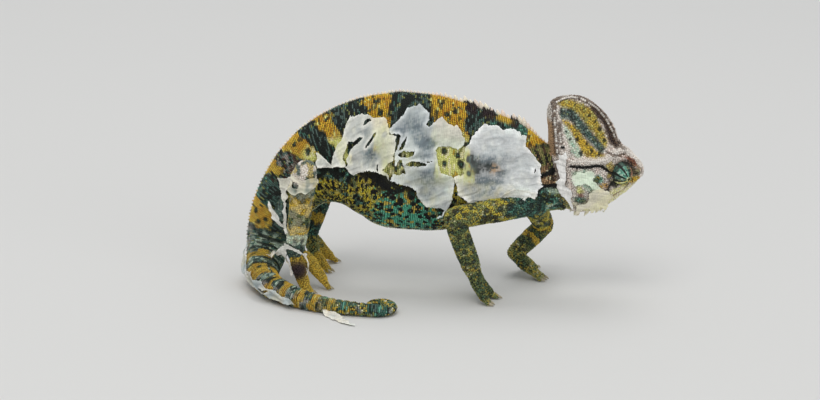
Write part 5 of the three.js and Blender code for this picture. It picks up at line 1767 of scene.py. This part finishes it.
# each sheet of old skin: a torn outline, its slits, and places where it is thin and grey or clear.
# On the flank a point is mm along the back line and height from -1 at the belly to 1 at the ridge; on the
# head it is a point of the side view; on the leg it is x and z, at a depth y where it hangs clear of the leg.
shedSheets = {
    "Shoulder": [
        {"map": "flank", "pale": (242, 243, 242),
         "outline": [(6.9, 0), (7.6, 0.1), (8.8, 0.32), (10, 0.5), (13.2, 0.58), (15, 0.65), (17, 0.665),
             (18.2, 0.83), (20.2, 0.8), (20.7, 0.855), (23.5, 0.86), (26.2, 0.82), (27.5, 0.785),
             (30.2, 0.82), (32.6, 0.795), (35.2, 0.79), (37, 0.7), (39.2, 0.56), (39.6, 0.48), (41, 0.41),
             (41.6, 0.3), (40.8, 0.2), (41.4, 0.1), (40.6, 0), (44, -0.05), (43.7, -0.11), (42.3, -0.22),
             (42, -0.32), (39.3, -0.38), (38.3, -0.42), (36.3, -0.495), (31, -0.515), (28, -0.48),
             (24.5, -0.5), (20, -0.49), (17.5, -0.46), (15.5, -0.38), (12.5, -0.36), (12.2, -0.24),
             (9, -0.28), (8, -0.3), (8.1, -0.1)],
         "slits": [[(11.3, 0.38), (11.9, 0.33), (11.8, 0.25), (11.3, 0.3)]],
         "haze": [(33, -0.24, 9, 0.22, 0.9), (27, 0.38, 9, 0.12, 0.4), (28, 0.68, 9, 0.12, 0.2),
             (32, 0.24, 6, 0.08, 0.9), (25, 0.08, 3, 0.08, 0.9), (31, -0.08, 6, 0.06, 0.9),
             (16, 0.3, 5, 0.2, 0.2)],
         "clear": [(38.6, 0.1, 3.4, 0.17, 2), (30.5, 0.14, 4, 0.09, 1.4), (40.4, 0.27, 2.4, 0.1, 0.9)]},
        {"map": "flank", "float": 0.85,
         "outline": [(8.4, -0.16), (12, -0.14), (17.7, -0.155), (21, -0.25), (24.6, -0.35), (28, -0.44),
             (30.7, -0.515), (27, -0.52), (22, -0.52), (17.5, -0.47), (15.5, -0.4), (12.5, -0.38),
             (12, -0.27), (8.6, -0.3)],
         "haze": [(24, -0.45, 6, 0.08, 0.3)]},
    ],
    "Saddle": [
        {"map": "flank", "pale": (216, 221, 222),
         "outline": [(41.4, 0.48), (43, 0.59), (45.3, 0.68), (46.2, 0.64), (49.8, 0.695), (50.8, 0.74),
             (53, 0.67), (55.4, 0.585), (56.6, 0.607), (55.4, 0.67), (55.8, 0.76), (57.8, 0.815),
             (59.7, 0.858), (60.6, 0.825), (64, 0.8), (65, 0.716), (66.9, 0.63), (68.8, 0.54), (69.8, 0.52),
             (68.8, 0.44), (66.4, 0.45), (65.4, 0.43), (66.2, 0.3), (66.9, 0.18), (66.4, 0.018), (65, 0.116),
             (64, 0.084), (63, -0.004), (62.3, -0.08), (63.4, -0.06), (64.6, -0.1), (66.9, -0.09),
             (67.4, -0.19), (64, -0.22), (59.2, -0.255), (57.8, -0.287), (56.8, -0.396), (53.9, -0.484),
             (50.3, -0.53), (47.2, -0.54), (46.2, -0.57), (47.7, -0.626), (49.1, -0.66), (46.7, -0.647),
             (44.8, -0.53), (43.8, -0.4), (43.6, -0.22), (43.8, -0.07), (44.8, -0.047), (49.1, -0.015),
             (50.1, 0.06), (51, 0.17), (52, 0.28), (51, 0.345), (47, 0.36), (43.6, 0.34), (41.7, 0.42)],
         "slits": [[(59.4, 0.26), (61.1, 0.236), (64, 0.236), (65.9, 0.17), (65, 0.15), (61.6, 0.16),
             (60.4, 0.18)], [(54.4, 0.094), (57.8, 0.116), (61.1, 0.094), (62.6, 0.06), (61.1, 0.04),
             (57.3, 0.05), (55.4, 0.06)], [(63.3, 0.44), (65, 0.32), (66, 0.22), (64, 0.28),
             (63.4, 0.36)], [(52.8, 0.145), (55.2, 0.13), (54.6, 0.105), (52.8, 0.12)]],
         "haze": [(55, 0.36, 5, 0.08, 1.6), (66.6, 0.47, 3, 0.05, 1.6), (61, 0.58, 5, 0.16, 0.9),
             (54, -0.1, 7, 0.18, 1.1), (58, 0.17, 6, 0.07, 1), (54, -0.34, 5, 0.1, 0.6)],
         "clear": [(51, 0.02, 1.6, 0.1, 0.5), (55, 0.44, 3, 0.06, 0.35), (61, -0.2, 2, 0.06, 0.4)]},
    ],
    "Flank": [
        {"map": "flank", "pale": (230, 230, 222),
         "outline": [(69.8, 0.53), (70.7, 0.63), (71.7, 0.67), (74, 0.68), (77, 0.695), (80.8, 0.76),
             (85.4, 0.75), (85.8, 0.79), (86.8, 0.716), (89, 0.585), (90.4, 0.43), (92.8, 0.367),
             (95.2, 0.26), (97.6, 0.105), (98.4, 0.04), (99.4, 0.1), (101, 0.214), (102.9, 0.356),
             (104.3, 0.39), (104.6, 0.28), (106.2, 0.19), (106.5, 0.083), (102.4, 0.03), (99, -0.015),
             (95.2, -0.004), (89.9, -0.047), (88, -0.135), (86.1, -0.19), (83.2, -0.135), (77, -0.09),
             (72.6, -0.1), (68.8, -0.124), (67.6, -0.2), (68.2, -0.1), (70.6, -0.05), (69.4, -0.03),
             (68.3, 0.05), (67, 0.1), (66.9, 0.28), (66.9, 0.43), (69.2, 0.44)],
         "slits": [[(76.8, 0.65), (79, 0.68), (80, 0.65), (80.7, 0.585), (79.6, 0.6),
             (78.6, 0.63)], [(74.8, 0.49), (76.4, 0.41), (78, 0.34), (79.7, 0.25), (78.8, 0.25), (76.8, 0.33),
             (75, 0.43)], [(80.8, 0.41), (83, 0.41), (85, 0.36), (87.6, 0.38), (88.4, 0.28), (90.4, 0.18),
             (91.2, 0.1), (90, 0.06), (89.6, -0.03), (88.5, -0.01), (89.2, 0.08), (87.8, 0.16), (86.2, 0.26),
             (84, 0.31), (82, 0.36)], [(72.5, 0.03), (72.9, 0.02), (72.7, -0.07), (72.2, -0.08)]],
         "haze": [(76, 0.2, 5, 0.22, 0.9), (79, 0.5, 5, 0.12, 0.4), (70, 0.1, 3, 0.2, 0.3)],
         "clear": [(75, 0.2, 3, 0.14, 0.4), (71, 0.5, 2, 0.1, 0.4), (86, 0.1, 3, 0.06, 0.4),
             (69, 0, 1.5, 0.1, 0.6)]},
    ],
    "Tail": [  # here the second number is tens of degrees round from the ridge
        {"map": "tail", "pale": (196, 203, 204),
         "outline": [(157, 1.6), (161, 0.4), (166, -1.2), (173, -2), (182, -2.2), (191, -2.8), (198, -2.4),
             (203, -1), (200, 0.6), (196, 0.2), (193, 1.8), (189, 0.8), (185.6, 2.4), (181, 1.2), (177, 2.8),
             (173, 1), (168, 2.2), (163, 1.2), (159, 2.6)],
         "slits": [[(170, 0.2), (175, 0.6), (174, -0.6), (171, -0.6)], [(186, 0), (190, 0.2), (189, -1),
             (186.6, -0.8)]],
         "haze": [(170, 0, 9, 4, 0.9), (190, 0, 12, 4, 0.9)]},
    ],
    "Head": [
        {"map": "head", "pale": (250, 249, 246), "wearAndFoldShade": 0.2, "tinged": 0.1,
         "outline": [(-13.6, 8.9), (-12.4, 8.2), (-11, 9.4), (-10.4, 7), (-10.6, 3), (-10.4, 0),
             (-10.2, -3.3), (-8.2, -6), (-8, -10), (-6.8, -12.6), (-9.2, -11), (-11.4, -8.2), (-13.8, -4.4),
             (-12.7, -1.1), (-13.2, 2.2), (-14, 5), (-12.9, 6.4)]},
        {"map": "head", "pale": (232, 240, 226), "wearAndFoldShade": 0.3, "tinged": 0.6,
         "outline": [(-8.6, 0.8), (-6.4, 1.9), (-4.4, 1.2), (-3.4, 2), (-1.2, 1.7), (0, 0.6), (-0.5, -1.6),
             (0.4, -3.4), (1.6, -4.2), (0.6, -5.4), (-1.4, -5.2), (-2.2, -4), (-3.8, -2.8), (-5.4, -3.6),
             (-6.2, -3.2), (-7.4, -3.9), (-8.6, -2.6)],
         "slits": [[(-1.4, -1.2), (-0.6, -0.8), (-0.2, -1.8), (-0.9, -2.4)]],
         "haze": [(-4, -0.6, 3, 2, 0.1), (-1, 0.2, 1.2, 1, 0.3)],
         "clear": [(-0.6, -0.4, 1, 1.2, 0.5), (-5.4, -2.6, 1.4, 0.8, 0.5), (-2.4, 1.4, 1, 0.7, 0.3)]},
        {"map": "head", "pale": (236, 232, 214), "wearAndFoldShade": 0.3, "tinged": 0.45,
         "outline": [(-1.8, -5), (0.6, -4.3), (2.4, -4.7), (4.6, -6), (6.6, -7.8), (7.6, -9.2), (6.2, -10.6),
             (5, -12.6), (3.8, -15.8), (3.4, -12.8), (2.2, -12.6), (1.4, -14.8), (0.5, -17.6), (-0.4, -15),
             (-1.6, -13.4), (-3.6, -13.6), (-4.6, -15.2), (-5.6, -17.4), (-6.2, -14.6), (-6.6, -11.4),
             (-4.8, -9.8), (-3.4, -10), (-2.6, -8)],
         "clear": [(1.4, -7.4, 1.6, 0.8, 0.4), (-2.4, -11.4, 2, 1, 0.35)]},
    ],
    "Hindleg": [
        {"map": "leg", "depth": -24, "hug": True, "pale": (232, 228, 212), "wearAndFoldShade": 0.5, "tinged": 0.5,
         "outline": [(-54.6, 46.6), (-51, 45.4), (-47.2, 46.4), (-46, 45.2), (-44.4, 43.9), (-46.6, 42.2),
             (-48.2, 40.8), (-49.8, 39.6), (-51.2, 40.6), (-53, 39.2), (-55.8, 39.4), (-55.2, 42),
             (-55.5, 44.4)],
         "slits": [[(-54.3, 43.6), (-52.7, 43.9), (-52.3, 42.3), (-53.9, 41.7)]],
         "haze": [(-52, 42.5, 2, 3, 0.5), (-48.5, 44, 2, 1.5, 0.3)],
         "clear": [(-53, 41, 2, 1.6, 0.8), (-48.2, 42.6, 2.2, 2, 0.7), (-50.4, 45.4, 3, 0.8, 0.5),
             (-49.4, 41.4, 1.2, 1, 0.6)]},
        {"map": "leg", "depth": -15,
         "outline": [(-60.8, 44.5), (-59.8, 43.8), (-57, 44.3), (-54.5, 45.5), (-54.1, 44.2), (-55.2, 41.9),
             (-55.8, 39.9), (-55.6, 37.6), (-56.2, 35), (-57.6, 34), (-58.5, 36.2), (-59.2, 38.2),
             (-59.7, 40.8)]},
        {"map": "leg", "depth": -13,
         "outline": [(-64.4, 32), (-63.4, 31.9), (-62.1, 30.4), (-60.7, 29.2), (-59.4, 27.6), (-58.3, 25.6),
             (-56.5, 24), (-57.2, 22.6), (-60.8, 24.5), (-62.2, 26.8), (-63.9, 28)]},
        {"map": "leg", "depth": -15,
         "outline": [(-57.6, 37.6), (-56.1, 35), (-56.4, 32.3), (-56, 29.6), (-56.2, 26.9), (-55.6, 24.3),
             (-55.2, 22.6), (-57, 22.6), (-58, 25.6), (-57.7, 28.2), (-58.2, 30.9), (-57.7, 33.6)]},
        {"map": "leg", "depth": -18, "hug": True,
         "outline": [(-56.9, 19.6), (-54.8, 19.8), (-51.4, 17.8), (-49, 15), (-47.6, 11.6), (-47.6, 8.6),
             (-49.2, 7.2), (-48.4, 9.4), (-48.9, 12.4), (-50.8, 15.6), (-53.6, 17.4), (-55.4, 17.2),
             (-54.4, 14), (-53.4, 10.2), (-52.6, 7.2), (-54.6, 8.4), (-55.8, 11.6), (-56.8, 15.2),
             (-59.5, 13.4), (-62.6, 11.4), (-64.4, 11.6), (-62, 13.6), (-59.6, 16.2), (-57.8, 18.6)]},
    ],
    "Floor": [
        {"map": "floor",
         "outline": [(-41.5, -39.4), (-36.4, -40.2), (-34.6, -41.6), (-33.2, -43.6), (-33.9, -45.2),
             (-31.6, -46.8), (-31, -49.2), (-29.2, -51), (-28.9, -52.2), (-30.6, -51.8), (-32.6, -50.4),
             (-34.6, -49.2), (-35.6, -47.2), (-37.6, -46.4), (-38.4, -44.2), (-40.2, -42.8)],
         "haze": [(-38, -42, 2, 2, 0.3)]},
    ],
}


# mm: where a ray to the right hind leg starts, how far it goes, and how far from a sheet's depth it may land
legRay = {"start": -40, "length": 36, "slack": 7}


def torn(outline, seed):  # adds ragged points between the corners of an outline
    tear = np.random.default_rng(seed)
    corners = np.array(outline, float)
    points = []
    for a, b in zip(corners, np.roll(corners, -1, 0)):
        run = b - a
        count = max(1, int(np.linalg.norm(run) / shedFilm["tearStep"]))
        aside = np.array([-run[1], run[0]]) / max(np.linalg.norm(run), 1e-6)
        points.append(tuple(a))
        for k in range(1, count):
            points.append(tuple(a + run * k / count + aside * tear.normal(0, shedFilm["tear"])))
    return points


def cutGrid(outline, slits):  # a fine grid inside an outline, its border moved onto the outline
    step = shedFilm["grid"]
    us, vs = (np.arange(way.min() - step, way.max() + 2 * step, step) for way in np.array(outline).T)
    across = len(vs)
    flat = np.stack(np.meshgrid(us, vs, indexing="ij"), -1).reshape(-1, 2)
    i, j = np.meshgrid(np.arange(len(us) - 1), np.arange(across - 1), indexing="ij")
    first = (i * across + j).ravel()
    quads = np.stack([first, first + across, first + across + 1, first + 1], -1)
    middle = flat[quads].mean(1)
    keep = insideOutline(*middle.T, outline)
    for slit in slits:
        keep &= ~insideOutline(*middle.T, slit)
    quads = quads[keep]
    used = np.unique(quads)
    renamed = np.full(len(flat), -1)
    renamed[used] = np.arange(len(used))
    flat = flat[used]
    outside = ~insideOutline(*flat.T, outline)
    flat[outside] -= offLine(flat[outside], outline + outline[:1])[0]
    for slit in slits:
        inSlit = insideOutline(*flat.T, slit)
        flat[inSlit] -= offLine(flat[inSlit], slit + slit[:1])[0]
    return flat, renamed[quads]


def gridNormals(points, quads):
    a, b, c, d = (points[quads[:, k]] for k in range(4))
    face = np.cross(c - a, d - b)
    sums = [np.bincount(quads.ravel(), np.repeat(column, 4), len(points)) for column in face.T]
    return unit(np.stack(sums, -1))


def quadEdges(quads):
    pairs = np.concatenate([quads[:, [k, (k + 1) % 4]] for k in range(4)])
    return np.unique(np.sort(pairs, 1), axis=0)


def fillMissing(flat, depths, otherwise):  # depths that a ray missed take the nearest one that was found
    found = ~np.isnan(depths)
    if not found.any():
        return np.full(len(depths), otherwise)
    tree = treeOf(np.hstack([flat[found], np.zeros((found.sum(), 1))]))
    known = depths[found]
    return np.array([d if ok else known[tree.find((*p, 0))[1]] for p, d, ok in zip(flat, depths, found)])


def sheetSurface(flat, sheet):  # the sheet's points before its folds
    u, v = flat.T
    kind = sheet["map"]
    if kind == "flank":
        angle = -np.arccos(np.clip(v / shedFilm["flankScale"], -1, 1))
        return bodyPoint(placeAtBack(u), angle, sheet.get("float", shedFilm["float"]))
    if kind == "tail":
        return bodyPoint(placeAtBack(u), -np.radians(v * 10), shedFilm["clear"])
    if kind == "floor":  # it starts on the side of the tail
        return np.stack([u, v, 0.12 + 1.6 * hump((v, -39.6, 1.2))], -1)
    if kind == "head":
        depths = fillMissing(flat, bodyToHead(fromSide(flat, -1))[:, 1], 0)
        return headToBody(np.stack([u, depths, v], -1))
    depths = np.full(len(flat), np.nan)
    for i, (x, z) in enumerate(flat):
        hit = skinBvh.ray_cast(Vector((x, legRay["start"], z)), Vector((0, 1, 0)), legRay["length"])
        if hit[0] is not None and abs(hit[0][1] - sheet["depth"]) < legRay["slack"]:
            depths[i] = hit[0][1] - shedFilm["clear"]
    return np.stack([u, fillMissing(flat, depths, sheet["depth"]), v], -1)


def filmSheet(sheet, seed):  # points, quads and tones of one torn sheet
    kind = sheet["map"]
    stretch = shedFilm["flankScale"] if kind == "flank" else 1
    outline = torn([(u, v * stretch) for u, v in sheet["outline"]], seed)
    slits = [torn([(u, v * stretch) for u, v in slit], seed + 2) for slit in sheet.get("slits", [])]
    flat, quads = cutGrid(outline, slits)
    points = sheetSurface(flat, sheet)
    edges = quadEdges(quads)
    out = gridNormals(points, quads)
    outward = (0, 0, 1) if kind == "floor" else (0, -1, 0)
    if (out @ np.array(outward)).sum() < 0:
        quads, out = quads[:, ::-1], -out
    hugs = kind == "head" or sheet.get("hug")
    if hugs:  # lies on the skin there, bridging its hollows
        placed, normals, far = onSkin(points)
        held = far < shedFilm["bridge"]
        points = np.where(held[:, None], placed + normals * shedFilm["clear"], points)
    if hugs or kind == "leg":
        points = relax(points, edges, np.full(len(points), 0.5), shedFilm["passes"][0 if hugs else 1])
        out = gridNormals(points, quads)
    u, v = flat.T
    toEdge = np.minimum.reduce([lineDistance(u, v, line + line[:1]) for line in (outline, *slits)])
    drawn = np.stack([u * 0.4, v * 1.3 + u * 0.35, np.full(len(flat), seed * 7)], -1)

    def veins(size, own):
        return 1 - np.abs(2 * noise(drawn, size, own) - 1)

    crease, fine, grain = veins(3, seed), veins(1.1, seed + 1), veins(0.6, seed + 5)
    streak = noise(drawn * (0.35, 1, 1), 0.55, seed + 4)
    rows = np.cos(u / scaleShape["columnPitch"] * 2 * math.pi)
    lift = shedFilm["crumple"] * crease**5 + 0.2 * fine**5 + 0.05 * grain + shedFilm["imprint"] * rows
    rise = shedFilm["curl"] * np.exp(-toEdge / shedFilm["curlReach"])
    rise = rise * (0.1 + ramp(noise(drawn, 2.4, seed + 2), 0.45, 0.8))
    lift = lift + rise * (0.3 if kind == "floor" else 1)
    points = points + out * lift[:, None]

    seen = paint(locate(points - out * (lift + shedFilm["clear"])[:, None]))["scale"]
    under = relax(seen, edges, np.full(len(points), 0.8), 12)
    light = under.mean(1)
    hue = under - light[:, None]
    patches = {}
    for name in ("haze", "clear"):
        patches[name] = np.zeros(len(flat))
        for atU, atV, reachU, reachV, strength in sheet.get(name, []):
            patches[name] += strength * hump((u, atU, reachU), (v / stretch, atV, reachV))
    pale, grey = linear(sheet.get("pale", shedFilm["pale"])), linear(shedFilm["grey"])
    imprint = lattice(np.floor(np.append(flat / shedFilm["imprintCell"], np.zeros((len(flat), 1)), 1)), seed)
    uneven = 0.75 + 0.35 * (streak - 0.5) + 0.5 * (imprint - 0.5) + 0.18 * rows
    thin = (0.35 * ramp(light, 0.16, 0.03) + patches["haze"]) * uneven * ramp(toEdge, 0.1, 1.8)
    tone = pale + (grey - pale) * np.clip(thin, 0, 1)[:, None] + hue * sheet.get("tinged", 0.3)
    # wear and shade: streaks, imprint rows and blotches that differ at random, and painted shade along the
    # creases
    wearAndFoldShade = sheet.get("wearAndFoldShade", 0.1) * (streak - 0.5) + 0.14 * (fine - 0.5) + 0.16 * (imprint - 0.5)
    wearAndFoldShade = wearAndFoldShade + 0.07 * rows + 0.3 * (noise(drawn, 4.5, seed + 8) - 0.5) - 0.16 * crease**4
    # near a torn edge the tone is lifted: a painted highlight on the curled edges
    tone = tone * (1 + wearAndFoldShade + 0.14 * np.exp(-toEdge / 0.4))[:, None]
    clear = np.clip(patches["clear"] * (0.85 + 0.5 * (imprint - 0.5)), 0, 0.9)
    tone = tone + (seen - tone) * clear[:, None]
    return points, quads, np.clip(tone, 0, 1)


def addFilm(name, sheets, seed):
    made = [filmSheet(sheet, seed + 11 * index) for index, sheet in enumerate(sheets)]
    points, faces = joinParts([(points, quads) for points, quads, _ in made])
    piece = makeMesh("shedSkin" + name, points, faces)
    setColour(piece.data, "tone", np.vstack([tone for _, _, tone in made]))
    piece.data.materials.append(materials["film"])
    thicken = piece.modifiers.new("thickness", "SOLIDIFY")
    thicken.thickness = shedFilm["thickness"] * metresPerMm
    thicken.offset = 1
    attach(piece, "root")


for seed, (name, sheets) in enumerate(shedSheets.items()):
    addFilm(name, sheets, seed * 3 + 3)
report("shed skin")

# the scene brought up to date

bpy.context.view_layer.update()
report("done")
